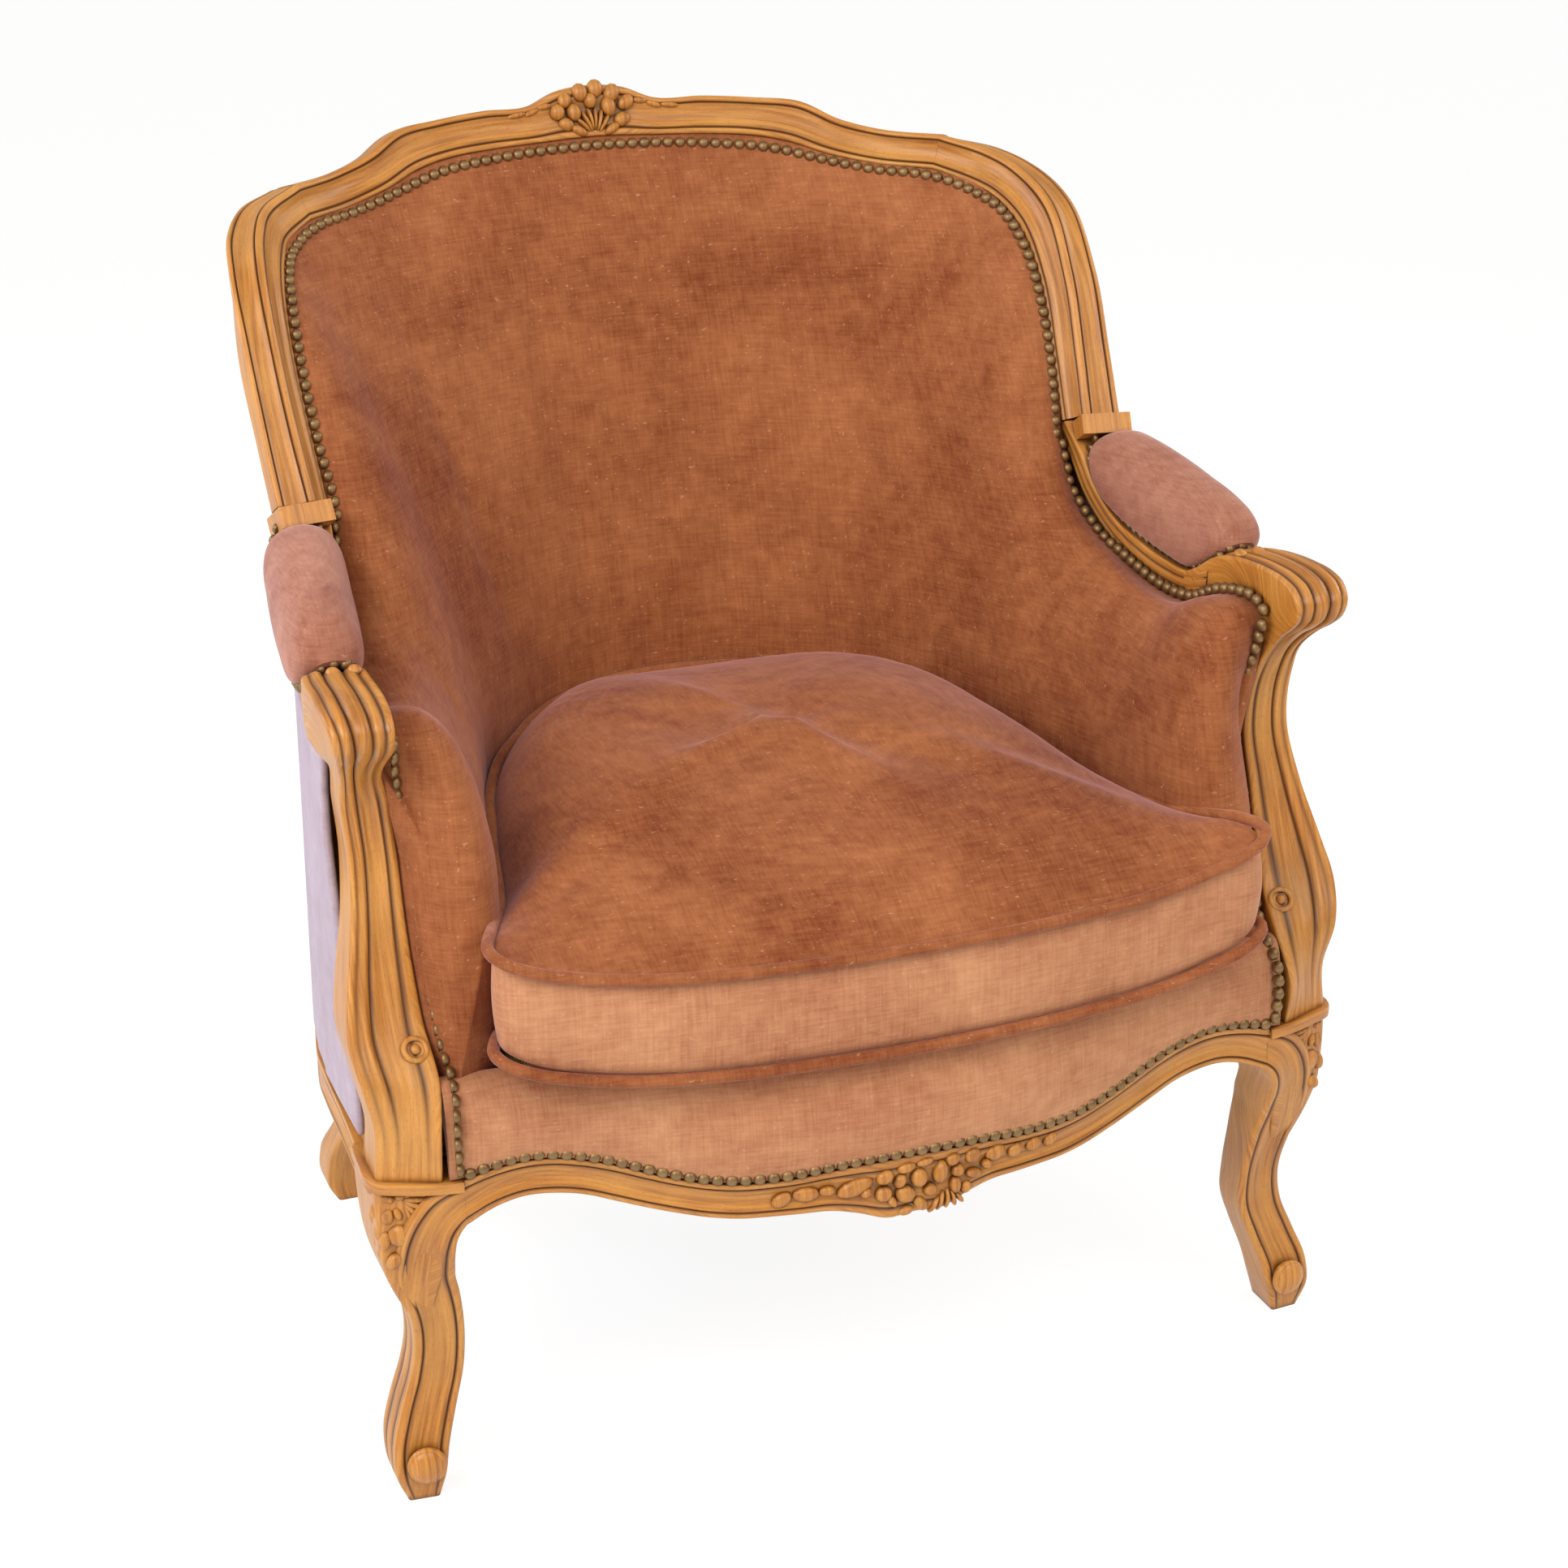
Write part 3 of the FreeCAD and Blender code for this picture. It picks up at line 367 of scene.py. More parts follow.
def carved_petal(spot, along, out, long, wide, high):
    """One rounded petal, berry or rib of a carving: a flattened ball half sunk in the face."""
    out = Vector(out).normalized()
    across = out.cross(Vector(along)).normalized()
    bpy.ops.mesh.primitive_uv_sphere_add(segments=12, ring_count=8, radius=1.0)
    petal = bpy.context.object
    turn = Matrix((across.cross(out), across, out)).transposed().to_4x4()
    place = Vector((spot[0], spot[1] - DRAW_SHIFT, spot[2])) / 1000
    size = Matrix.Diagonal((long / 2000, wide / 2000, high / 1000, 1))
    petal.matrix_world = Matrix.Translation(place) @ turn @ size
    bpy.ops.object.transform_apply(location=True, rotation=True, scale=True)
    return petal


# Crest rail: one sawn and carved length that rises in the middle and swings round at its ends to
# the uprights, where a fine scarf line shows. Rows are the nailed inner edge and the ridge.
CREST = (
    ((0, 369, 914), (0, 382, 957)), ((28, 368, 913), (29, 380, 954)), ((54, 365, 912), (55, 375, 944)),
    ((98, 358, 911), (100, 369, 943)), ((140, 347, 908), (144, 357, 940)), ((172, 334, 901), (181, 343, 936)),
    ((201, 317, 890), (211, 325, 921)), ((236, 297, 882), (243, 307, 912)),
    ((280, 263, 878), (285, 269, 909)),
)
SEAM_RUN = Vector((0.70, -0.70, -0.14)).normalized()
CREST_THICK = 28


def squared(points, middle, run):
    """Brings a section's corners into the plane through its middle, square to the member."""
    return [p - run * (p - middle).dot(run) for p in points]


half = []
for index, (low, high) in enumerate(CREST):
    low, high = Vector(low), Vector(high)
    if index == 0:
        run = Vector((1, 0, 0))
    elif index == len(CREST) - 1:
        run = SEAM_RUN
    else:
        run = (Vector(CREST[index + 1][0]) - Vector(CREST[index - 1][0])).normalized()
    back = run.cross(high - low).normalized() * -CREST_THICK
    half.append(squared([low, high, high + back, low + back], high, run))
other = [[Vector((-p.x, p.y, p.z)) for p in row] for row in half[:0:-1]]
FLAT_TOP = ((0.3, 0.6, 0), (0.5, 0.8, 0), (0.7, 0.6, 0))
crest = sections_mesh("crest_rail_carved", other + half,
                      [(COVE, 1.0), (FLAT_TOP, 1.0), (PLAIN, 1), (PLAIN, 1)], rounding=4.0)
# the posy at the top: place across and up the face, turn in degrees, length, width and height
POSY = (
    (-32, 24, 90, 15, 14, 6), (-24.5, 33, 60, 15, 13, 6), (-17, 22, 100, 17, 14, 6.5),
    (-9.5, 38.5, 100, 17, 15, 6.5),
    (4.5, 41, 80, 17, 15, 6.5), (19, 36.5, 60, 18, 15, 6.5), (31, 28.5, 30, 17, 13, 6),
    (15, 25, 95, 19, 14, 7),
    (26, 14, 20, 16, 13, 5.5), (-25, 12.5, 150, 15, 12, 5.5), (-14, 6, 150, 17, 9, 5.5),
    (16, 6, 30, 17, 9, 5.5),
    (-1, 31, 90, 15, 12, 7), (-6, 13, 115, 21, 5, 6), (-2.5, 15, 100, 21, 4.5, 6.5),
    (1.5, 15, 85, 21, 4.5, 6.5),
    (5.5, 13.5, 72, 21, 5, 6), (9.5, 11, 55, 19, 5, 5.5), (-9.5, 10.5, 132, 18, 5, 5.5),
    (44, 30, 170, 14, 6, 3.5),
    (56, 27, 160, 16, 5.5, 3.2), (70, 27, 172, 18, 5, 3), (-44, 30, 10, 14, 6, 3.5),
    (-56, 27, 20, 16, 5.5, 3.2),
    (-70, 27, 8, 18, 5, 3),
)
up_face, from_face = Vector((0, 0.29, 0.957)), Vector((0, -0.957, 0.29))
posy = []
for a, b, turn, long, wide, high in POSY:
    spot = Vector((a, 369 - 0.0013 * a * a, 914 - 0.0007 * a * a)) + up_face * b
    along = Vector((math.cos(math.radians(turn)), 0, 0)) + up_face * math.sin(math.radians(turn))
    posy.append(carved_petal(spot - from_face * 1.2, along, from_face, long, wide, high))
carved_bits(crest, posy, 0.12)
finish_piece(crest, carved_beech, "frame", "show_wood", "crest_rail")

# Uprights: they carry the crest's moulding down to the arms on a face that widens and turns
# outwards, while the narrow inner face beside the nails keeps its own cove.
UPRIGHT = (
    ((280, 263, 878), (285, 269, 909), (307, 290, 901)), ((300, 240, 869), (317, 240, 898), (343, 250, 892)),
    ((312, 207, 859), (331, 206, 886), (360, 205, 877)), ((321, 166, 830), (340, 162, 862), (367, 160, 853)),
    ((323, 132, 781), (341, 124, 810), (367, 118, 803)), ((320, 106, 732), (337, 90, 745), (364, 84, 740)),
    ((318, 86, 694), (332, 65, 698), (362, 62, 698)),
)
rows = []
for index, corners in enumerate(UPRIGHT):
    inner, ridge, outer = (Vector(c) for c in corners)
    if index == 0:
        run = SEAM_RUN
    elif index == len(UPRIGHT) - 1:
        run = Vector((-0.08, -0.46, -0.88)).normalized()
    else:
        run = (Vector(UPRIGHT[index + 1][1]) - Vector(UPRIGHT[index - 1][1])).normalized()
    share = index / (len(UPRIGHT) - 1.0)
    lift = run.cross(outer - ridge).normalized()
    thick = (ridge - inner).length * (0.5 + 0.35 * share)
    corners = [inner, ridge, outer, outer - lift * thick, inner + (outer - ridge) * (1 - 0.38 * share)]
    rows.append(squared(corners, ridge, run))
upright = sections_mesh("right_upright_carved", rows,
                        [lambda s: (COVE, 1 - 0.45 * s), lambda s: (COVE, min(1.0, s * 5)), (PLAIN, 1),
                         (PLAIN, 1),
                         (PLAIN, 1)], rounding=4.0)
finish_pair(upright, "left_upright_carved", carved_beech, "show_wood", "upright")

# Knuckle and arm support: the arm rolls forward over a carved knuckle with two full ridges and
# runs down the support as a cove between beads. Rows: face inner and outer edge, then the back.
KNUCKLE = (
    ((339, -104, 604), (387, -104, 604), (-108, 583)), ((341, -120, 612), (389, -120, 612), (-124, 585)),
    ((345, -140, 625), (392, -140, 625), (-140, 592)), ((348, -160, 631), (396, -160, 631), (-155, 597)),
    ((350, -185, 633.5), (399, -185, 633.5), (-168, 598)),
    ((351, -212, 634.5), (400, -212, 634.5), (-178, 597)),
    ((351.5, -236, 633), (401, -236, 633), (-186, 595)), ((352, -254, 628), (400, -254, 628), (-190, 592)),
    ((352.5, -264, 618), (398, -264, 618), (-191, 588)), ((353, -262, 606), (396, -262, 606), (-190, 584)),
    ((353.5, -252, 596), (393, -252, 596), (-187, 580)), ((354, -238, 587), (390, -238, 587), (-184, 576)),
    ((355, -222, 573), (386, -222, 573), (-180, 570)), ((348, -208, 545), (384, -208, 545), (-170, 545)),
    ((344, -203, 505), (381, -208, 505), (-167, 505)), ((344, -215, 460), (386, -223, 460), (-181, 460)),
    ((343, -230, 415), (396, -242, 415), (-194, 415)), ((342, -244, 385), (401, -257, 385), (-205, 385)),
    ((340, -276, 350), (396, -272, 350), (-220, 350)), ((345, -292, 315), (389, -267, 315), (-226, 315)),
    ((345, -285, 276), (391, -268, 276), (-222, 276)),
)
RIDGES = ((0.10, -0.4, 0.2), (0.145, -1.6, 1), (0.18, -0.6, 0.4), (0.22, 1.0, 0), (0.27, 1.6, 0),
          (0.32, 0.2, 0.4),
          (0.36, -1.6, 1), (0.40, 0.6, 0.3), (0.47, 2.6, 0), (0.54, 2.8, 0), (0.61, 0.8, 0.3),
          (0.66, -1.8, 1),
          (0.70, 0.6, 0.3), (0.76, 2.2, 0), (0.82, 1.6, 0), (0.87, -0.8, 0.9), (0.91, 0.2, 0.1))
SUPPORT_COVE = ((0.10, 0.2, 0), (0.145, -0.1, 0.1), (0.18, -0.5, 0.5), (0.22, -1.3, 1), (0.27, -0.1, 0.2),
                (0.32, -1.0, 0.1), (0.36, -1.8, 0.1), (0.40, -2.4, 0.1), (0.47, -2.9, 0.1), (0.54, -2.6, 0.1),
                (0.61, -1.8, 0.2), (0.66, -2.8, 1), (0.70, -0.4, 0.3), (0.76, 0.1, 0), (0.82, -0.6, 0.1),
                (0.87, -0.9, 0.6), (0.91, -0.1, 0.1))


def knuckle_to_support(share):
    """Full ridges over the knuckle that die into the cove of the support by the middle of it."""
    keep = min(max((0.42 - share) / 0.16, 0.0), 1.0)
    start = min(share / 0.05, 1.0)
    fade = min(max((1.0 - share) / 0.16, 0.0), 1.0)
    mixed = [(u, (a * keep + b * (1 - keep)) * start * fade, (c * keep + d * (1 - keep)) * start * fade)
             for (u, a, c), (u_same, b, d) in zip(RIDGES, SUPPORT_COVE)]
    return mixed, 1.0


rows = []
for near, far, (back_y, back_z) in KNUCKLE:
    rows.append([near, far, (far[0] - 0.6, back_y, back_z), (near[0] + 0.6, back_y, back_z)])
support = sections_mesh("right_knuckle_and_support", rows,
                        [knuckle_to_support, (PLAIN, 1), (PLAIN, 1), (PLAIN, 1)],
                        rounding=3.4, step=3.5)
buttons = [carved_petal((x, -164, 632), (0, 1, 0.1), (0, -0.1, 1), 13, 11, 4.5) for x in (357.5, 373.5)]
# the bead of the cove ends in a volute low on the inner side
volute_out = Vector((-0.16, -0.72, 0.67))
bpy.ops.mesh.primitive_torus_add(major_radius=0.0085, minor_radius=0.0024, major_segments=32,
                                 minor_segments=8)
curl = bpy.context.object
curl.matrix_world = (Matrix.Translation(Vector((353, -256.5 - DRAW_SHIFT, 372)) / 1000)
                     @ volute_out.to_track_quat("Z", "Y").to_matrix().to_4x4())
bpy.ops.object.transform_apply(location=True, rotation=True, scale=True)
eye = carved_petal((353, -256, 371.5), (1, 0, 0), volute_out, 9, 9, 4)
carved_bits(support, buttons + [curl, eye], 0.05)
finish_pair(support, "left_knuckle_and_support", carved_beech, "show_wood", "arm_support")

# Arm: a flat rail that sweeps down from the upright below the pad, with a bead and a cove on its
# inner side between the two rows of nails; a squared band turns the corner to the upright.
ARM_ROWS = (
    ((319, 79, 690), (361, 70, 690), (362, 92, 682), (320, 98, 682)),
    ((321, 56, 671), (361, 54, 671), (362, 75, 662), (321, 76, 662)),
    ((324, 36, 646), (362, 36, 646), (363, 54, 634), (324, 54, 634)),
    ((327, 8, 626), (366, 8, 626), (366, 22, 611), (327, 22, 611)),
    ((331, -30, 614), (373, -30, 614), (373, -24, 592), (331, -24, 592)),
    ((336, -72, 606.5), (380, -72, 606.5), (380, -70, 583), (336, -70, 583)),
    ((340, -112, 606), (387, -112, 606), (387, -112, 585), (340, -112, 585)),
    ((343, -136, 613), (390, -136, 613), (390, -134, 592), (343, -134, 592)),
)
SMALL_BEADS = ((0.22, 0.2, 0.1), (0.30, -1.0, 1), (0.38, 0.1, 0.1), (0.5, 0.5, 0), (0.62, 0.1, 0.1),
               (0.70, -1.0, 1),
               (0.78, 0.2, 0.1))
arm = sections_mesh("right_arm_rail", ARM_ROWS, [(PLAIN, 1), (SMALL_BEADS, 1), (PLAIN, 1), (SMALL_BEADS, 1)],
                    rounding=2.5)
BAND_ACROSS, BAND_THICK, BAND_TALL = 43, 38, 17
BAND_RUN = Vector((-0.08, -0.46, -0.88)).normalized()
band_wide = Vector((1, -0.12, 0)).normalized()
band_wide = (band_wide - BAND_RUN * band_wide.dot(BAND_RUN)).normalized()
band_deep = BAND_RUN.cross(band_wide)
band_deep = band_deep if band_deep.y > 0 else -band_deep
corner = Vector((322, 57, 699)) - band_deep * 6
rows = []
for step_down in (0, BAND_TALL):
    near = corner + BAND_RUN * step_down
    across, inwards = band_wide * BAND_ACROSS, band_deep * BAND_THICK
    rows.append([near, near + across, near + across + inwards, near + inwards])
band = sections_mesh("arm_band", rows, [(PLAIN, 1)] * 4, rounding=0.8, step=10)
only(arm)
band.select_set(True)
bpy.ops.object.join()
finish_pair(arm, "left_arm_rail", carved_beech, "show_wood", "arm")

# Front legs: the rail's moulding turns down the cabriole leg to a scrolled toe; a plain knee block
# outside it carries the carving. Rows: face inner and outer edge, and the thickness behind.
LEG_STRIP = (
    ((330, -287, 238), (330, -287, 276), 60), ((334, -287, 233), (343, -287, 273), 60),
    ((337, -286, 226), (357, -284, 265), 60), ((338, -284, 218), (368, -281, 252), 60),
    ((338, -280, 209), (376, -277, 236), 58), ((337, -274, 198), (381, -271, 215), 55),
    ((336, -269, 187), (382, -263, 192), 50), ((333, -265, 173), (378, -258, 175), 45),
    ((331, -262, 159), (372, -256, 159), 42), ((329, -255, 126), (367, -249, 126), 39),
    ((331, -251, 97), (371, -247, 97), 40), ((339, -255, 70), (381, -251, 70), 42),
    ((348, -263, 42), (390, -260, 42), 44), ((352, -266, 22), (390, -264, 22), 42),
    ((358, -262, 0), (382, -260, 0), 36),
)


def leg_face(share):
    low = min(max((1.0 - share) / 0.12, 0.0), 1.0)
    return COVE, 0.95 * low


def leg_side(share):
    low = min(max((1.0 - share) / 0.12, 0.0), 1.0) * min(max((share - 0.3) / 0.1, 0.0), 1.0)
    return SMALL_BEADS, 0.9 * low


rows = [[near, far, (far[0], far[1] + deep, far[2]), (near[0], near[1] + deep, near[2])]
        for near, far, deep in LEG_STRIP]
leg = sections_mesh("right_front_leg_carved", rows, [leg_face, leg_side, (PLAIN, 1), (PLAIN, 1)],
                    rounding=4.5, step=4.0)
KNEE_BLOCK = (
    ((336, -284.5, 276), (392, -267, 276), 72), ((336, -284, 252), (392.5, -267, 252), 72),
    ((338, -281, 230), (392, -266, 230), 68), ((342, -276, 210), (390.5, -265, 210), 60),
    ((346, -269, 190), (385.5, -261, 190), 51), ((350, -262, 172), (378.5, -257, 172), 44),
    ((352, -256, 158), (372, -254, 158), 38),
)
rows = [[near, far, (far[0], far[1] + deep, far[2]), (near[0], near[1] + deep, near[2])]
        for near, far, deep in KNEE_BLOCK]
knee = sections_mesh("knee_block", rows, [(PLAIN, 1)] * 4, rounding=5.0)
# the ledge under the arm support, cut as a bead that wraps the front and the outer side
LEDGE = (
    ((331, -290, 276), (331, -290, 267.5), (331, -270, 267.5), (331, -270, 276)),
    ((350, -288.5, 277), (350, -288, 268.5), (350, -268, 268.5), (350, -268, 277)),
    ((375, -281, 278), (375, -280.5, 269.5), (372, -262, 269.5), (372, -262, 278)),
    ((391, -274, 278.5), (391, -273.5, 270), (380, -258, 270), (380, -258, 278.5)),
    ((396.5, -264, 278.5), (396.5, -264, 270), (380, -250, 270), (380, -250, 278.5)),
    ((396.5, -235, 278), (396.5, -235, 269.5), (380, -235, 269.5), (380, -235, 278)),
    ((395, -205, 278), (395, -205, 269.5), (380, -205, 269.5), (380, -205, 278)),
)
ledge = sections_mesh("knee_ledge", LEDGE, [(PLAIN, 1)] * 4, rounding=3.5, step=4.0)
only(leg)
knee.select_set(True)
ledge.select_set(True)
bpy.ops.object.join()

# Toe scroll: a round boss like a rolled leaf end, turned once, with the curl cut into its face
bpy.ops.mesh.primitive_uv_sphere_add(segments=32, ring_count=16, radius=0.0135,
                                     location=(0.368, (-268 - DRAW_SHIFT) / 1000, 0.033))
toe = bpy.context.object
bpy.ops.transform.resize(value=(1.0, 0.62, 1.06), center_override=tuple(toe.location))
bpy.ops.object.transform_apply(location=True, rotation=True, scale=True)
bpy.ops.mesh.primitive_torus_add(major_radius=0.0125, minor_radius=0.0028, major_segments=40,
                                 minor_segments=10,
                                 location=(0.368, (-268.5 - DRAW_SHIFT) / 1000, 0.033),
                                 rotation=(math.radians(90), 0, math.radians(8)))
rim = bpy.context.object
bpy.ops.object.transform_apply(location=True, rotation=True, scale=True)


carved_bits(leg, [toe, rim])
# leaf and petals of the knee: place across and up, turn in degrees, length, width and height
KNEE_FRONT = (
    (384, 249, 100, 14, 10, 5), (377, 251, 70, 12, 7, 5), (383, 264, 20, 11, 8, 5), (375, 265, 0, 9, 7, 4),
    (377, 233, 90, 19, 18, 6), (387, 229, 100, 16, 9, 5), (382, 212, 120, 15, 10, 5),
    (363, 262, 182, 23, 5.5, 4),
    (363, 257, 204, 25, 6, 4.5), (365, 252, 226, 25, 6, 4.5), (368.5, 249, 250, 23, 5.5, 4),
)
KNEE_SIDE = ((-258, 250, 80, 14, 10, 5), (-248, 240, 110, 16, 12, 5), (-259, 232, 90, 15, 11, 5),
             (-250, 220, 60, 14, 8, 4), (-246, 262, 0, 18, 7, 4), (-257, 214, 80, 14, 9, 4))
knee_bits = []
for x, z, turn, long, wide, high in KNEE_FRONT:
    spot = Vector((x, -284 + 17 * (x - 336) / 56 + 1.5, z))
    knee_bits.append(carved_petal(spot, lying(turn, 0.3), (0.29, -1, 0), long, wide, high))
for y, z, turn, long, wide, high in KNEE_SIDE:
    along = (0, math.cos(math.radians(turn)), math.sin(math.radians(turn)))
    knee_bits.append(carved_petal((390.5 - 0.06 * (260 - z), y, z), along, (1, -0.05, -0.05), long, wide,
                                  high))
carved_bits(leg, knee_bits, 0.08)
finish_pair(leg, "left_front_leg_carved", carved_beech, "show_wood", "front_leg")

# Seat rails: serpentine strips with the same cove, swelling forward in front; the plain upper
# part of each lies hidden behind the velvet. Heights are read along each rail.
FRONT_LOW = ((0, 210), (28, 209), (52, 219), (86, 221), (142, 222), (204, 237), (250, 252), (300, 252),
             (330, 238))
FRONT_HIGH = ((0, 258), (54, 256), (100, 251), (142, 251), (180, 259), (230, 276), (273, 284), (302, 282),
              (330, 276))


def front_line(x):
    return -287 - 58 * (0.5 + 0.5 * math.cos(math.pi * abs(x) / 330))


def smooth_between(x, table):
    """Height from a table of places and heights, eased between its rows."""
    places, sizes = np.array(table, float).T
    slopes = np.gradient(sizes, places)
    k = int(np.clip(np.searchsorted(places, x) - 1, 0, len(places) - 2))
    span = places[k + 1] - places[k]
    t = min(max((x - places[k]) / span, 0.0), 1.0)
    return float((2 * t ** 3 - 3 * t ** 2 + 1) * sizes[k] + (t ** 3 - 2 * t ** 2 + t) * span * slopes[k]
                 + (3 * t ** 2 - 2 * t ** 3) * sizes[k + 1] + (t ** 3 - t ** 2) * span * slopes[k + 1])


RABBET, RAIL_THICK, RAIL_TOP, SIDE_STRIP = 8, 36, 306, 30


def rail_rows(line, stations, low, high):
    """Rows of a rail whose show-wood strip runs from low to high, with its hidden upper part."""
    rows = []
    for s in stations:
        here = Vector(line(s))
        run = (Vector(line(s + 0.5)) - Vector(line(s - 0.5))).normalized()
        inward = Vector((0, 0, 1)).cross(run)
        inward = -inward if inward.dot(here) > 0 else inward
        step, back = here + inward * RABBET, here + inward * RAIL_THICK
        corners = ((here, low(s)), (here, high(s)), (step, high(s)), (step, RAIL_TOP), (back, RAIL_TOP),
                   (back, low(s) + 3))
        rows.append([spot + Vector((0, 0, height)) for spot, height in corners])
    return rows


RAIL_SIDES = [(COVE, 1.0)] + [(PLAIN, 1)] * 5
rows = rail_rows(lambda x: (x, front_line(x), 0), np.linspace(-330, 330, 31),
                 lambda x: smooth_between(abs(x), FRONT_LOW), lambda x: smooth_between(abs(x), FRONT_HIGH))
front_rail = sections_mesh("front_rail_carved", rows, RAIL_SIDES, rounding=4.5)
# garland in the middle: place along and up, turn in degrees, length, width and height
GARLAND = (
    (-102, 235, 30, 17, 11, 4), (-84, 238, 0, 21, 12, 4.5), (-68, 239, 0, 13, 8, 4),
    (-47, 239, 18, 30, 14, 5),
    (-39, 234, 30, 10, 8, 6), (-24, 244, 20, 15, 12, 5.5), (-25, 230, 0, 14, 13, 5.5),
    (-18.5, 223, 120, 12, 7, 5),
    (-7, 249, 10, 16, 9, 5), (-12, 239, 60, 13, 10, 5.5), (-8, 227, 160, 17, 15, 6), (3, 239, 100, 17, 14, 7),
    (12, 227, 90, 11, 11, 6), (4, 217, 130, 15, 10, 5.5), (-8, 213.5, 10, 14, 8, 5), (8, 251, 10, 15, 7, 4.5),
    (20.5, 240, 80, 20, 12, 7), (31, 248, 20, 13, 11, 5.5), (35, 238, 60, 11, 11, 6),
    (33, 226, 90, 15, 10, 5.5),
    (42, 222, 60, 11, 10, 5), (48, 247, 40, 14, 13, 5.5), (49, 232, 170, 14, 8, 5), (68, 244, 10, 18, 13, 5),
    (60, 237, 0, 9, 8, 5.5), (86, 241, 20, 14, 11, 4.5), (103, 241, 10, 15, 11, 4.5),
    (119, 240, 20, 14, 10, 4),
    (15, 214, 55, 16, 4.5, 5), (20, 216, 70, 17, 4.5, 5.5), (25.5, 216.5, 85, 17, 4.5, 5.5),
    (31, 215.5, 105, 15, 4.5, 5), (36.5, 214.5, 125, 12, 4.5, 4.5),
)
garland = []
for x, z, turn, long, wide, high in GARLAND:
    lean = (front_line(x + 1) - front_line(x - 1)) / 2
    spot = (x, front_line(x) + 1.4, z)
    garland.append(carved_petal(spot, lying(turn, lean), (lean, -1, 0), long, wide, high))
carved_bits(front_rail, garland, 0.1)
finish_piece(front_rail, carved_beech, "frame", "show_wood", "front_seat_rail")

SIDE_LOW = ((0, 236), (60, 250), (140, 250), (210, 238), (280, 250), (350, 250), (404, 236))


def side_line(s):
    share = s / 404
    return (389 - 67 * share + 24 * math.sin(math.pi * share), -213 + 403 * share, 0)


rows = rail_rows(side_line, np.linspace(0, 404, 17), lambda s: smooth_between(s, SIDE_LOW),
                 lambda s: smooth_between(s, SIDE_LOW) + SIDE_STRIP)
side_rail = sections_mesh("right_side_rail_carved", rows, RAIL_SIDES, rounding=3.5)
finish_pair(side_rail, "left_side_rail_carved", carved_beech, "show_wood", "side_rail")

BACK_LOW = ((0, 236), (70, 248), (180, 246), (282, 236))


def back_line(x):
    return (x, 232 + 34 * math.cos(math.pi * x / 564), 0)


rows = rail_rows(back_line, np.linspace(-282, 282, 17), lambda s: smooth_between(abs(s), BACK_LOW),
                 lambda s: smooth_between(abs(s), BACK_LOW) + SIDE_STRIP)
back_rail = sections_mesh("back_rail_carved", rows, RAIL_SIDES, rounding=3.5)
finish_piece(back_rail, carved_beech, "frame", "show_wood", "back_seat_rail")

# Back posts: rear cabriole legs with eased edges that run on up behind the padding; left square
# and plain, as the rear legs of such chairs are. The joinery inside the seat stays bare beech.
POST = ((0, 309, 246, 17), (12, 313, 251, 20), (36, 312, 249, 21), (76, 303, 230, 18), (126, 297, 216, 18),
        (180, 299, 209, 20), (236, 303, 211, 21), (310, 303, 211, 21), (420, 305, 215, 18),
        (600, 306, 236, 16),
        (780, 304, 266, 15), (876, 301, 286, 13))
rows = [[(x - h, y - h, z), (x + h, y - h, z), (x + h, y + h, z), (x - h, y + h, z)] for z, x, y, h in POST]
post = sections_mesh("right_back_post_shaped", rows, [(PLAIN, 1)] * 4, rounding=5.0)
finish_pair(post, "left_back_post_shaped", carved_beech, "show_wood", "back_post")
for name in ("corner_blocks", "frame_dowels"):
    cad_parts[name].data.materials.clear()
    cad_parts[name].data.materials.append(plain_beech)
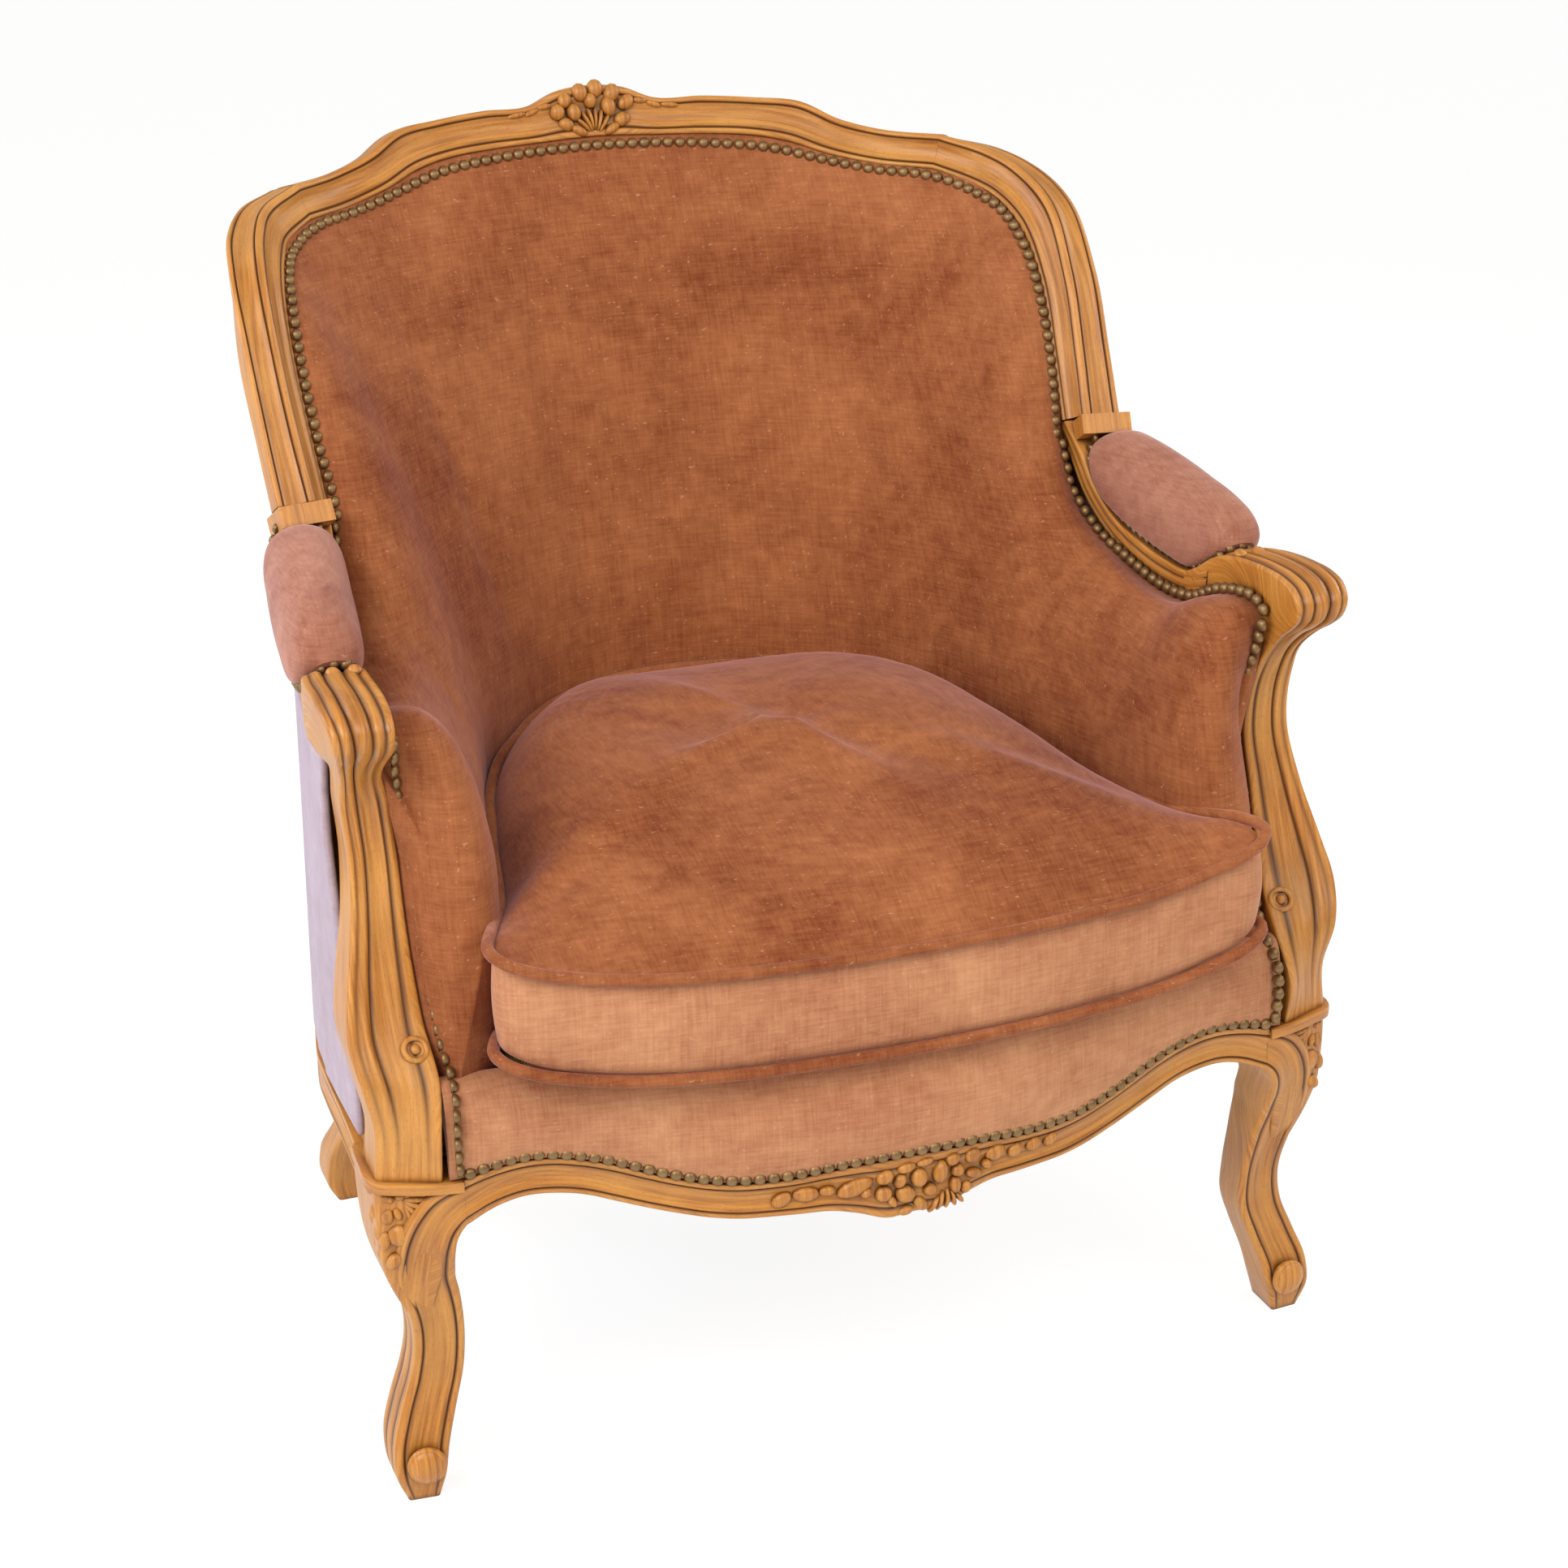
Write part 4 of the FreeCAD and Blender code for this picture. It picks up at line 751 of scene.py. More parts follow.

# Velvet: short cotton pile in a cinnamon rose that turns mauve where it is seen edge on; rubbed
# patches, a faint crossing of threads and pale lint break it up. Paler copies carry painted light:
# one for the cushion's sides and the front border, as if the lamps fell full on them, one paler and
# mauver for the armrest pads, painted with their mauve sheen, and a pale mauve one for the outside
# cloth, painted with the bluish light and sheen on it.
def cotton_velvet(name, deep, full, sheen_tint, pale_share):
    made = blank_material(name)
    tree = made.node_tree
    place = node(tree, "ShaderNodeTexCoord").outputs["Object"]
    rub = node(tree, "ShaderNodeTexNoise", {"Vector": place, "Scale": 7.0, "Detail": 5.0, "Roughness": 0.62,
                                            "Distortion": 0.5})
    mottle = node(tree, "ShaderNodeTexNoise",
                  {"Vector": place, "Scale": 62.0, "Detail": 4.0, "Roughness": 0.7})
    # threads of the ground cloth: about 2 mm apart here, coarser than the real 0.6 mm so that they show
    level_at = node(tree, "ShaderNodeMapping", {"Vector": place, "Scale": (38, 38, 620)})
    level = node(tree, "ShaderNodeTexNoise", {"Vector": level_at.outputs[0], "Scale": 1.0, "Detail": 2.0})
    upright_at = node(tree, "ShaderNodeMapping", {"Vector": place, "Scale": (560, 70, 30)})
    upright_lines = node(tree, "ShaderNodeTexNoise",
                         {"Vector": upright_at.outputs[0], "Scale": 1.0, "Detail": 2.0})
    threads = node(tree, "ShaderNodeMath", {0: level.outputs["Fac"], 1: upright_lines.outputs["Fac"]},
                   operation="ADD")
    spread = node(tree, "ShaderNodeMapRange",
                  {"Value": rub.outputs["Fac"], "From Min": 0.36, "From Max": 0.66,
                                               "To Min": -0.22, "To Max": 0.22})
    fine = node(tree, "ShaderNodeMapRange", {"Value": mottle.outputs["Fac"], "From Min": 0.3, "From Max": 0.7,
                                             "To Min": -0.15, "To Max": 0.15})
    lines = node(tree, "ShaderNodeMapRange", {"Value": threads.outputs[0], "From Min": 0.7, "From Max": 1.3,
                                              "To Min": -0.15, "To Max": 0.15})
    total = node(tree, "ShaderNodeMath", {0: spread.outputs[0], 1: fine.outputs[0]}, operation="ADD")
    total = node(tree, "ShaderNodeMath", {0: total.outputs[0], 1: lines.outputs[0]}, operation="ADD")
    share = node(tree, "ShaderNodeMath", {0: total.outputs[0], 1: pale_share}, operation="ADD",
                 use_clamp=True)
    pile = node(tree, "ShaderNodeMix", {"Factor": share.outputs[0], 6: linear(deep), 7: linear(full)},
                data_type="RGBA")
    # lint and bruised pile: pale flecks 1 to 2 mm long
    lint_at = node(tree, "ShaderNodeMapping", {"Vector": place, "Rotation": (0.4, 0.9, 0.5),
                                               "Scale": (330, 900, 520)})
    lint = node(tree, "ShaderNodeTexNoise", {"Vector": lint_at.outputs[0], "Scale": 0.6, "Detail": 1.0})
    lint_on = node(tree, "ShaderNodeMapRange",
                   {"Value": lint.outputs["Fac"], "From Min": 0.69, "From Max": 0.76,
                                                "To Min": 0.0, "To Max": 0.35})
    colour = node(tree, "ShaderNodeMix", {"Factor": lint_on.outputs[0], 6: pile.outputs[2],
                                          7: linear("D9A98C")},
                  data_type="RGBA")
    rise = node(tree, "ShaderNodeMath", {0: mottle.outputs["Fac"], 1: threads.outputs[0]}, operation="ADD")
    bump = node(tree, "ShaderNodeBump", {"Height": rise.outputs[0], "Strength": 0.25, "Distance": 0.0010})
    shader = node(tree, "ShaderNodeBsdfPrincipled", {"Base Color": colour.outputs[2], "Roughness": 0.86,
                                                     "Normal": bump.outputs[0], "Specular IOR Level": 0.12,
                                                     "Sheen Weight": 0.55, "Sheen Roughness": 0.36,
                                                     "Sheen Tint": linear(sheen_tint)})
    node(tree, "ShaderNodeOutputMaterial", {"Surface": shader.outputs[0]})
    return made


inside_velvet = cotton_velvet("rose_cinnamon_velvet", "7A3E24", "BA7A4F", "E3BCC8", 0.42)
# painted sheen: the armrest pads get a paler, mauver copy of the velvet whose base colour paints their mauve
# sheen
armrest_velvet = cotton_velvet("rose_cinnamon_velvet_painted_sheen", "8D5443", "C4907A", "E9D2DC", 0.5)
# painted light: a paler copy of the velvet for the faces that are shown as lit from the front
painted_lit_velvet = cotton_velvet("rose_cinnamon_velvet_painted_lit", "A4694C", "D9A47C", "EBCFC9", 0.45)
# painted light: a pale mauve copy for the outside cloth, standing in for the bluish window light and sheen on
# it
painted_lavender_velvet = cotton_velvet("velvet_painted_lavender_light", "9C8A98", "C6B8C8", "EAE4F4", 0.5)


def swollen(piece, held, pressure, cap):
    """The stuffing's push on the cover: a short pressure simulation that keeps the held points
    where they are sewn or nailed and lets no other move more than cap millimetres."""
    pins = piece.vertex_groups.new(name="sewn")
    pins.add([int(i) for i in held], 1.0, "REPLACE")
    before = np.zeros(len(piece.data.vertices) * 3)
    piece.data.vertices.foreach_get("co", before)
    only(piece)
    bpy.ops.object.modifier_add(type="CLOTH")
    cloth = piece.modifiers[-1]
    cloth.settings.vertex_group_mass = "sewn"
    cloth.settings.quality = 6
    cloth.settings.mass = 0.3
    cloth.settings.tension_stiffness = 12
    cloth.settings.compression_stiffness = 6
    cloth.settings.bending_stiffness = 1.2
    cloth.settings.use_pressure = True
    cloth.settings.uniform_pressure_force = pressure
    cloth.settings.effector_weights.gravity = 0
    cloth.collision_settings.use_collision = False
    cloth.point_cache.frame_start, cloth.point_cache.frame_end = 1, 20
    for moment in range(1, 21):
        scene.frame_set(moment)
    bpy.ops.object.modifier_apply(modifier=cloth.name)
    scene.frame_set(1)
    after = np.zeros(len(before))
    piece.data.vertices.foreach_get("co", after)
    move = (after - before).reshape(-1, 3)
    far = np.linalg.norm(move, axis=1, keepdims=True)
    limit = cap / 1000
    move *= limit * np.tanh(far / limit) / np.maximum(far, 1e-9)
    piece.data.vertices.foreach_set("co", (before.reshape(-1, 3) + move).ravel())
    piece.vertex_groups.clear()


def rings_object(name, rows, closed_rows=False):
    """A closed skin over even rows of points, each row a ring; ends are capped unless they meet."""
    rows = np.array(rows, float)
    count, size = rows.shape[:2]
    verts = rows.reshape(-1, 3)
    faces = []
    for i in range(count if closed_rows else count - 1):
        for j in range(size):
            a, b = i * size + j, i * size + (j + 1) % size
            c, d = (i + 1) % count * size + (j + 1) % size, (i + 1) % count * size + j
            faces.append((a, b, c, d))
    if not closed_rows:
        faces += [tuple(range(size))[::-1], tuple(range((count - 1) * size, count * size))]
    mesh = bpy.data.meshes.new(name)
    mesh.from_pydata([(p[0] / 1000, (p[1] - DRAW_SHIFT) / 1000, p[2] / 1000) for p in verts], [], faces)
    made = bpy.data.objects.new(name, mesh)
    scene.collection.objects.link(made)
    outward(made)
    return made


def subdivided(piece, levels=1):
    """Finer faces; wide end caps are taken off first and closed again afterwards."""
    only(piece)
    bpy.ops.object.mode_set(mode="EDIT")
    bpy.ops.mesh.select_all(action="DESELECT")
    bpy.ops.mesh.select_face_by_sides(number=4, type="GREATER")
    bpy.ops.mesh.delete(type="ONLY_FACE")
    bpy.ops.object.mode_set(mode="OBJECT")
    bpy.ops.object.modifier_add(type="SUBSURF")
    piece.modifiers[-1].levels = piece.modifiers[-1].render_levels = levels
    bpy.ops.object.modifier_apply(modifier=piece.modifiers[-1].name)
    bpy.ops.object.mode_set(mode="EDIT")
    bpy.ops.mesh.select_all(action="SELECT")
    bpy.ops.mesh.fill_holes(sides=0)
    bpy.ops.mesh.normals_make_consistent(inside=False)
    bpy.ops.object.mode_set(mode="OBJECT")
    bpy.ops.object.shade_smooth()


# Inside back and arms: one run of velvet over webbing and hair, nailed round the frame, that falls
# to the seat and rolls forward round the front of each arm. Rows: nailed edge, the place beside
# the cushion where the padding turns down to the seat, and how full it is stuffed.
INSIDE = (
    ((0, 369, 911), (0, 230, 500), 12), ((94, 358, 908), (74, 216, 500), 12),
    ((152, 341, 902), (118, 188, 500), 12),
    ((200, 318, 890), (148, 158, 500), 12), ((238, 296, 882), (168, 130, 500), 12),
    ((266, 275, 880), (180, 112, 500), 12),
    ((285, 257, 876), (190, 98, 500), 12), ((302, 234, 868), (198, 84, 500), 12),
    ((313, 207, 859), (204, 72, 500), 12), ((321, 166, 830), (210, 58, 500), 12),
    ((323, 132, 781), (216, 42, 500), 13),
    ((320, 106, 732), (222, 26, 500), 14),
    ((314, 84, 684), (230, 0, 500), 16), ((315, 50, 627), (238, -34, 498), 19),
    ((323, -16, 593), (249, -76, 495), 21),
    ((327, -72, 580), (257, -112, 492), 22), ((333, -117, 580), (263, -146, 490), 24),
    ((340, -160, 600), (270, -185, 485), 27), ((345, -200, 603), (279, -222, 475), 28),
    ((350, -213, 588), (288, -240, 462), 27), ((347, -206, 560), (294, -250, 446), 25),
    ((344, -199, 531), (300, -256, 428), 22), ((342, -199, 500), (306, -260, 408), 20),
    ((343, -210, 463), (312, -263, 388), 17), ((343, -219, 435), (317, -265, 372), 14),
    ((341, -232, 400), (321, -267, 358), 10), ((340, -246, 368), (325, -269, 344), 6),
)
SWELL_AT = (0.0, 0.03, 0.07, 0.12, 0.2, 0.3, 0.42, 0.55, 0.68, 0.8, 0.9, 0.96, 1.0)
SWELL = (0.0, 0.42, 0.72, 0.92, 1.08, 1.12, 1.06, 0.92, 0.7, 0.46, 0.25, 0.12, 0.06)


def inside_row(edge, turn, full):
    edge, turn = np.array(edge, float), np.array(turn, float)
    fall = turn - edge
    level = np.array((fall[0], fall[1], 0))
    level /= np.linalg.norm(level)
    out = level * -fall[2] + np.array((0, 0, 1)) * np.dot(fall, level)
    out /= np.linalg.norm(out)
    upward = fall / -np.linalg.norm(fall)
    face = [edge + upward * 7 - out * 5]
    face += [edge + fall * t + out * full * h for t, h in zip(SWELL_AT, SWELL)]
    low = 322.0
    drops = [turn * (1, 1, 0) + (0, 0, turn[2] + (low - turn[2]) * t) for t in (0.2, 0.45, 0.7, 1.0)]
    behind = [turn * (1, 1, 0) - level * 24 + (0, 0, low)]
    behind += [turn * (1, 1, 0) - level * 26 + (0, 0, low + (turn[2] - low) * 0.7)]
    behind += [edge + fall * t - out * 14 for t in (0.75, 0.4, 0.15)]
    return face + drops + behind + [edge + upward * 6 - out * 12]


right_rows = [inside_row(*row) for row in INSIDE]
left_rows = [[p * (-1, 1, 1) for p in row] for row in right_rows[:0:-1]]
rows = eased(left_rows + right_rows, 13.0)[0]
inside = rings_object("inside_back_and_arms", rows)
size = rows.shape[1]
held = [i * size + j for i in range(len(rows)) for j in range(size) if j < 2 or j > 15]
held += list(range(2 * size)) + list(range((len(rows) - 2) * size, len(rows) * size))
swollen(inside, held, 3.0, 5)
subdivided(inside)
finish_piece(inside, inside_velvet, "frame", "velvet", "inside_back_pad", "right_inside_arm_pad",
             "left_inside_arm_pad")

# Front border: velvet drawn over a roll between the rail's nails and the seat edge.
rows = []
for x in np.linspace(-340, 340, 47):
    face, top = front_line(x), smooth_between(abs(x), FRONT_HIGH)
    tall = 346 - top
    ease = min(1.0, (345 - abs(x)) / 36)
    ring = [(face + 1.5, top - 1)]
    ring += [(face + 1.5 - 9 * ease * math.sin(math.pi * t) ** 0.8 + 7 * t * t, top + tall * t)
             for t in (0.08, 0.2, 0.36, 0.52, 0.68, 0.82, 0.93)]
    ring += [(face + 13, 349), (face + 22, 350), (face + 34, 348), (face + 34, 330), (face + 20, 320),
             (face + 9, 312), (face + 8, top + 2)]
    rows.append([(x, y, z) for y, z in ring])
border = rings_object("front_border_velvet", rows)
size = len(rows[0])
held = [i * size + j for i in range(len(rows)) for j in range(size) if j < 1 or j > 9]
held += list(range(size)) + list(range((len(rows) - 1) * size, len(rows) * size))
swollen(border, held, 3.0, 3)
subdivided(border, 2)
# painted light: the front border takes the paler copy of the velvet, as if lit from the front
finish_piece(border, painted_lit_velvet, "frame", "velvet", "front_border")

# Armrest pads: small stuffed rolls on the arms, fullest in the middle, nailed all round.
ARM_PAD = (
    (54, (56, 668), 339, 358), (50, (54, 677), 334, 364), (43, (46, 683), 328, 372),
    (28, (34, 689), 325, 378), (4, (6, 689), 327, 382), (-32, (-32, 684), 332, 387),
    (-72, (-73, 676), 337, 391), (-104, (-110, 668), 342, 393), (-122, (-133, 659), 346, 391),
    (-132, (-146, 648), 351, 386), (-137, (-148, 636), 357, 380),
)
ARM_TOP = ((-150, 630), (-132, 621), (-112, 607), (-72, 607), (-30, 615), (8, 627), (36, 647), (52, 669),
           (66, 697))
ROLL = ((0.02, 0), (-0.05, 0.14), (-0.09, 0.34), (-0.06, 0.58), (0.04, 0.79), (0.19, 0.93), (0.36, 0.99),
        (0.5, 1.0),
        (0.64, 0.99), (0.81, 0.93), (0.96, 0.79), (1.06, 0.58), (1.09, 0.34), (1.05, 0.14), (0.98, 0),
        (0.5, -0.02))
rows = []
for base, (crest_y, crest_z), near, far in ARM_PAD:
    seat = smooth_between(base, ARM_TOP) + 1.0
    rows.append([(near + (far - near) * u, base + (crest_y - base) * v, seat + (crest_z - seat) * v)
                 for u, v in ROLL])
rows = eased(rows, 8.0)[0]
pad = rings_object("right_armrest_velvet", rows)
size = rows.shape[1]
held = [i * size + j for i in range(len(rows)) for j in (0, 14, 15)]
swollen(pad, held, 3.0, 3)
subdivided(pad, 2)
twin = finish_pair(pad, "left_armrest_velvet", armrest_velvet, "velvet", "armrest_pad")

# Seat cushion: a loose feather-filled box. The top panel is crowned, the boxing is sewn to it and
# to the bottom panel with corded piping, and both seams turn up at the free front corners.
WELL = [(0, 230), (74, 216), (118, 188), (148, 158), (170, 127), (190, 98), (204, 72), (214, 48), (222, 26),
        (230, 0), (238, -34), (249, -76), (257, -112), (264, -146), (274, -185), (290, -231)]
side_plan = [(0.0, 219.5)]
for before, here, after in zip(WELL, WELL[1:], WELL[2:]):
    run = Vector((after[0] - before[0], after[1] - before[1])).normalized()
    side_plan.append((here[0] + run.y * 10.5, here[1] - run.x * 10.5))
side_plan += [(283, -240), (291, -264), (298, -284), (301.5, -299), (299.5, -311), (291, -319.5),
              (277, -324.5)]
side_plan += [(x, -318 - 34 * math.cos(math.pi / 2 * x / 304)) for x in (250, 215, 170, 120, 60)]
plan = side_plan + [(0.0, -352.0)] + [(-x, y) for x, y in side_plan[:0:-1]]
loop = np.array(plan + plan[:1], float)[:, None, :]
loop = np.concatenate([loop, np.zeros_like(loop[:, :, :1])], axis=2)
wrapped = np.concatenate([loop[-4:-1], loop, loop[1:4]])
even = eased(wrapped, 6.0)[0]
start = np.argmin(np.linalg.norm(even[:len(even) // 4, 0] - loop[0, 0], axis=1))
around = even[start:, 0, :2]
stop = 20 + np.argmin(np.linalg.norm(around[20:] - around[0], axis=1))
around = around[:stop]
CENTRE = np.array((0.0, -70.0))
HALF_WIDE, FRONT_TO_BACK = 304, 575
SEAM_LOW, SEAM_HIGH, CORNER_TURN, REAR_RISE, CROWN = 352, 431, 29, 35, 70
# height between a seam and the edge of the cover next to it, and the size of the cord
SEAM_GAP, CORD = 2.5, 9.2


def cushion_place(x, y):
    """How far a point lies out to the side and back from the front edge, each from 0 to 1."""
    reach = min(abs(x) / HALF_WIDE, 1.0)
    front = -318 - 34 * math.cos(math.pi / 2 * reach)
    return reach, min(max((y - front) / FRONT_TO_BACK, 0.0), 1.0)


def cushion_heights(x, y):
    """Heights of the bottom and the top seam, which turn up at the front corners."""
    reach, share = cushion_place(x, y)
    turned = CORNER_TURN * reach ** 5 * min(1.0, max(0.0, (-150 - y) / 120))
    return SEAM_LOW + turned, SEAM_HIGH + turned + REAR_RISE * share


def ring_at(inward, lift, upper):
    """Points of the plan moved in by a share of the way to the middle, at a seam's height."""
    ring = []
    for x, y in around:
        px, py = x + (CENTRE[0] - x) * inward, y + (CENTRE[1] - y) * inward
        ring.append((px, py, cushion_heights(x, y)[1 if upper else 0] + lift))
    return ring


rings = []
for inward, lift in ((0.93, 0), (0.8, 0), (0.6, 0), (0.4, 0), (0.2, -0.5), (0.08, -0.6), (0.02, 0.4)):
    rings.append(ring_at(inward, lift, False))
lower_seam = len(rings)
rings.append(ring_at(0.0, SEAM_GAP, False))
for share, puff in ((0.15, 1.6), (0.33, 3.2), (0.5, 3.8), (0.67, 3.2), (0.85, 1.6)):
    low_ring, high_ring = ring_at(-puff / 300, SEAM_GAP, False), ring_at(-puff / 300, -SEAM_GAP, True)
    rings.append([tuple(a + (b - a) * share for a, b in zip(p, q)) for p, q in zip(low_ring, high_ring)])
upper_seam = len(rings)
rings.append(ring_at(0.0, -SEAM_GAP, True))
for inward in (0.012, 0.03, 0.055, 0.085, 0.12, 0.17, 0.23, 0.3, 0.38, 0.47, 0.57, 0.68, 0.8, 0.93):
    ring = []
    for x, y in around:
        px, py = x + (CENTRE[0] - x) * inward, y + (CENTRE[1] - y) * inward
        reach, share = cushion_place(px, py)
        stuffed = CROWN * (1 - reach ** 3.4) * (1 - abs(2 * share - 1) ** 2.6)
        from_seam = math.sin(math.pi / 2 * min(inward / 0.21, 1.0)) ** 0.8
        high = cushion_heights(px, py)[1]
        ring.append((px, py, high - SEAM_GAP + stuffed * from_seam + SEAM_GAP * from_seam))
    rings.append(ring)
cushion = rings_object("seat_cushion_velvet", rings)
size = len(around)
held = [k * size + j for k in (lower_seam, upper_seam) for j in range(size)]
held += [k * size + j for k in range(6) for j in range(size)]
swollen(cushion, held, 4.0, 7)
subdivided(cushion)
# painted light: the boxing round the cushion's sides takes the paler copy of the velvet, as if lit from the
# front
cushion.data.materials.append(inside_velvet)
cushion.data.materials.append(painted_lit_velvet)
for face in cushion.data.polygons:
    middle = face.center * 1000
    high = cushion_heights(middle.x, middle.y + DRAW_SHIFT)[1]
    face.material_index = 1 if abs(face.normal.z) < 0.75 and middle.z < high - 2.6 else 0
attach(cushion, "seat_cushion")
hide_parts("cushion_cover", "cushion_core")


def cord_along(name, path, thick):
    """A round velvet-covered cord round a closed path of points in millimetres."""
    path = np.array(path, float)
    run = np.roll(path, -1, axis=0) - np.roll(path, 1, axis=0)
    run /= np.linalg.norm(run, axis=1, keepdims=True)
    side = np.cross(run, (0, 0, 1))
    side /= np.linalg.norm(side, axis=1, keepdims=True)
    over = np.cross(side, run)
    rows = [[p + s * math.cos(a) * thick / 2 + o * math.sin(a) * thick / 2
             for a in np.linspace(0, 2 * math.pi, 11)[:-1]] for p, s, o in zip(path, side, over)]
    return rings_object(name, rows, closed_rows=True)


for name, upper, node_name in (("piping_top", True, "cushion_top_piping"),
                               ("piping_bottom", False, "cushion_bottom_piping")):
    cord = cord_along(name, ring_at(-0.015, 0.0, upper), CORD)
    finish_piece(cord, inside_velvet, "seat_cushion", "piping", node_name)

# Outside velvet: cloth drawn flat over the backs and sides between the frame members, in a pale mauve copy of
# the velvet that paints the bluish light and sheen on it.
CLOTH_CELL = 0.0035


def cloth_over(name, node_name):
    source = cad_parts[node_name]
    made = bpy.data.objects.new(name, source.data.copy())
    scene.collection.objects.link(made)
    only(made)
    bpy.ops.object.mode_set(mode="EDIT")
    bpy.ops.mesh.select_all(action="SELECT")
    bpy.ops.mesh.remove_doubles(threshold=0.00002)
    bpy.ops.object.mode_set(mode="OBJECT")
    bpy.ops.object.modifier_add(type="REMESH")
    made.modifiers[-1].mode = "VOXEL"
    made.modifiers[-1].voxel_size = CLOTH_CELL
    bpy.ops.object.modifier_apply(modifier=made.modifiers[-1].name)
    bpy.ops.object.modifier_add(type="SMOOTH")
    made.modifiers[-1].factor, made.modifiers[-1].iterations = 0.5, 3
    bpy.ops.object.modifier_apply(modifier=made.modifiers[-1].name)
    bpy.ops.object.shade_smooth()
    return made


for name, node_name in (("right_side_velvet", "right_outside_panel"),
                        ("left_side_velvet", "left_outside_panel"),
                        ("outside_back_velvet", "outside_back_panel")):
    panel = cloth_over(name, node_name)
    finish_piece(panel, painted_lavender_velvet, "frame", "velvet_outside", node_name)

# Upholstery nails: domed, bronzed, set head to head. One head is turned and copied along each
# line of the cloth's edge, seated square to the wood that it is driven into.
bronze = blank_material("bronzed_nail_heads")
tree = bronze.node_tree
place = node(tree, "ShaderNodeTexCoord").outputs["Object"]
age = node(tree, "ShaderNodeTexNoise", {"Vector": place, "Scale": 90.0, "Detail": 3.0})
tint = node(tree, "ShaderNodeMix", {"Factor": age.outputs["Fac"], 6: linear("6A5238"), 7: linear("A98C62")},
            data_type="RGBA")
dull = node(tree, "ShaderNodeMapRange", {"Value": age.outputs["Fac"], "To Min": 0.34, "To Max": 0.58})
metal = node(tree, "ShaderNodeBsdfPrincipled", {"Base Color": tint.outputs[2], "Metallic": 0.85,
                                                "Roughness": dull.outputs[0]})
node(tree, "ShaderNodeOutputMaterial", {"Surface": metal.outputs[0]})


def nail_row(name, lines, body):
    """Lines are (points, a function for the way out, head diameter in mm, closed); heads touch."""
    verts, faces = [], []
    for points, facing, head, closed in lines:
        points = np.array(points, float)
        if closed:
            points = np.concatenate([points, points[:1]])
        eased_points = eased(points[:, None, :], 1.0)[0][:, 0]
        lengths = np.concatenate([[0], np.cumsum(np.linalg.norm(np.diff(eased_points, axis=0), axis=1))])
        count = max(int(round(lengths[-1] / (head + 0.25))), 1)
        spots = np.linspace(0, lengths[-1], count + 1)
        spots = spots[:-1] if closed else spots
        for spot in spots:
            here = np.array([np.interp(spot, lengths, eased_points[:, k]) for k in range(3)])
            out = np.array(facing(here), float)
            out /= np.linalg.norm(out)
            one = np.cross(out, (0.31, 0.21, 0.93))
            one /= np.linalg.norm(one)
            two = np.cross(out, one)
            base = len(verts)
            wobble = 0.04 * math.sin(here[0] * 1.7 + here[2] * 2.3)
            for radius, height in ((1.0, -0.25), (0.98, 0.06), (0.80, 0.32), (0.45, 0.50)):
                for k in range(8):
                    turn = math.pi / 4 * k
                    verts.append(here + (one * math.cos(turn) + two * math.sin(turn)) * radius * head / 2
                                 + out * (height + wobble) * head / 2 * 1.25)
            verts.append(here + out * (0.55 + wobble) * head / 2 * 1.25)
            for ring in range(3):
                for k in range(8):
                    a, b = base + ring * 8 + k, base + ring * 8 + (k + 1) % 8
                    faces.append((a, b, b + 8, a + 8))
            faces += [(base + 24 + k, base + 24 + (k + 1) % 8, base + 32) for k in range(8)]
            faces.append(tuple(base + k for k in range(8))[::-1])
    mesh = bpy.data.meshes.new(name)
    mesh.from_pydata([(p[0] / 1000, (p[1] - DRAW_SHIFT) / 1000, p[2] / 1000) for p in verts], [], faces)
    made = bpy.data.objects.new(name, mesh)
    scene.collection.objects.link(made)
    only(made)
    bpy.ops.object.mode_set(mode="EDIT")
    bpy.ops.mesh.select_all(action="SELECT")
    bpy.ops.mesh.normals_make_consistent(inside=False)
    bpy.ops.object.mode_set(mode="OBJECT")
    bpy.ops.object.shade_smooth()
    made.data.materials.append(bronze)
    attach(made, body)
    return made


def both_sides(points, facing, head, closed=False):
    """The same line of nails on the right and on the left."""
    return [(points, facing, head, closed), ([(-x, y, z) for x, y, z in points], facing, head, closed)]


back_edge = []
for edge, turn, full in INSIDE[:13]:
    fall = Vector(turn) - Vector(edge)
    back_edge.append(Vector(edge) + fall.normalized() * 5.2 + Vector((-edge[0] / 450, -1, 0.15)) * 2.2)
around_back = [(-p.x, p.y, p.z) for p in back_edge[:0:-1]] + [tuple(p) for p in back_edge]


def toward_sitter(p):
    return (-p[0] * 0.9 / 320, -1.0, 0.15)


ARM_NAILS = [(315, 77, 671), (315, 69, 656), (316, 60, 638), (318, 44, 625), (321, 27, 613), (324, 8, 604),
             (327, -16, 598), (330, -47, 591), (333, -72, 586), (336, -97, 585), (338, -117, 587),
             (341, -158, 604),
             (344, -185, 610), (347, -205, 610), (348, -219, 603)]
DOWN_NAILS = [(346, -222, 592), (344, -213, 567), (341, -207, 545), (338, -205, 524), (335, -205, 500),
              (335, -209, 480), (336, -216, 460), (336, -224, 436), (335, -232, 410), (334, -244, 385),
              (332, -257, 364),
              (331, -274, 348), (333, -288, 334), (334, -291, 318), (334, -290, 300), (333, -288, 286)]
RAIL_NAILS = [(x, front_line(x) - 0.5, smooth_between(abs(x), FRONT_HIGH) + 4.6)
              for x in np.linspace(-326, 326, 40)]
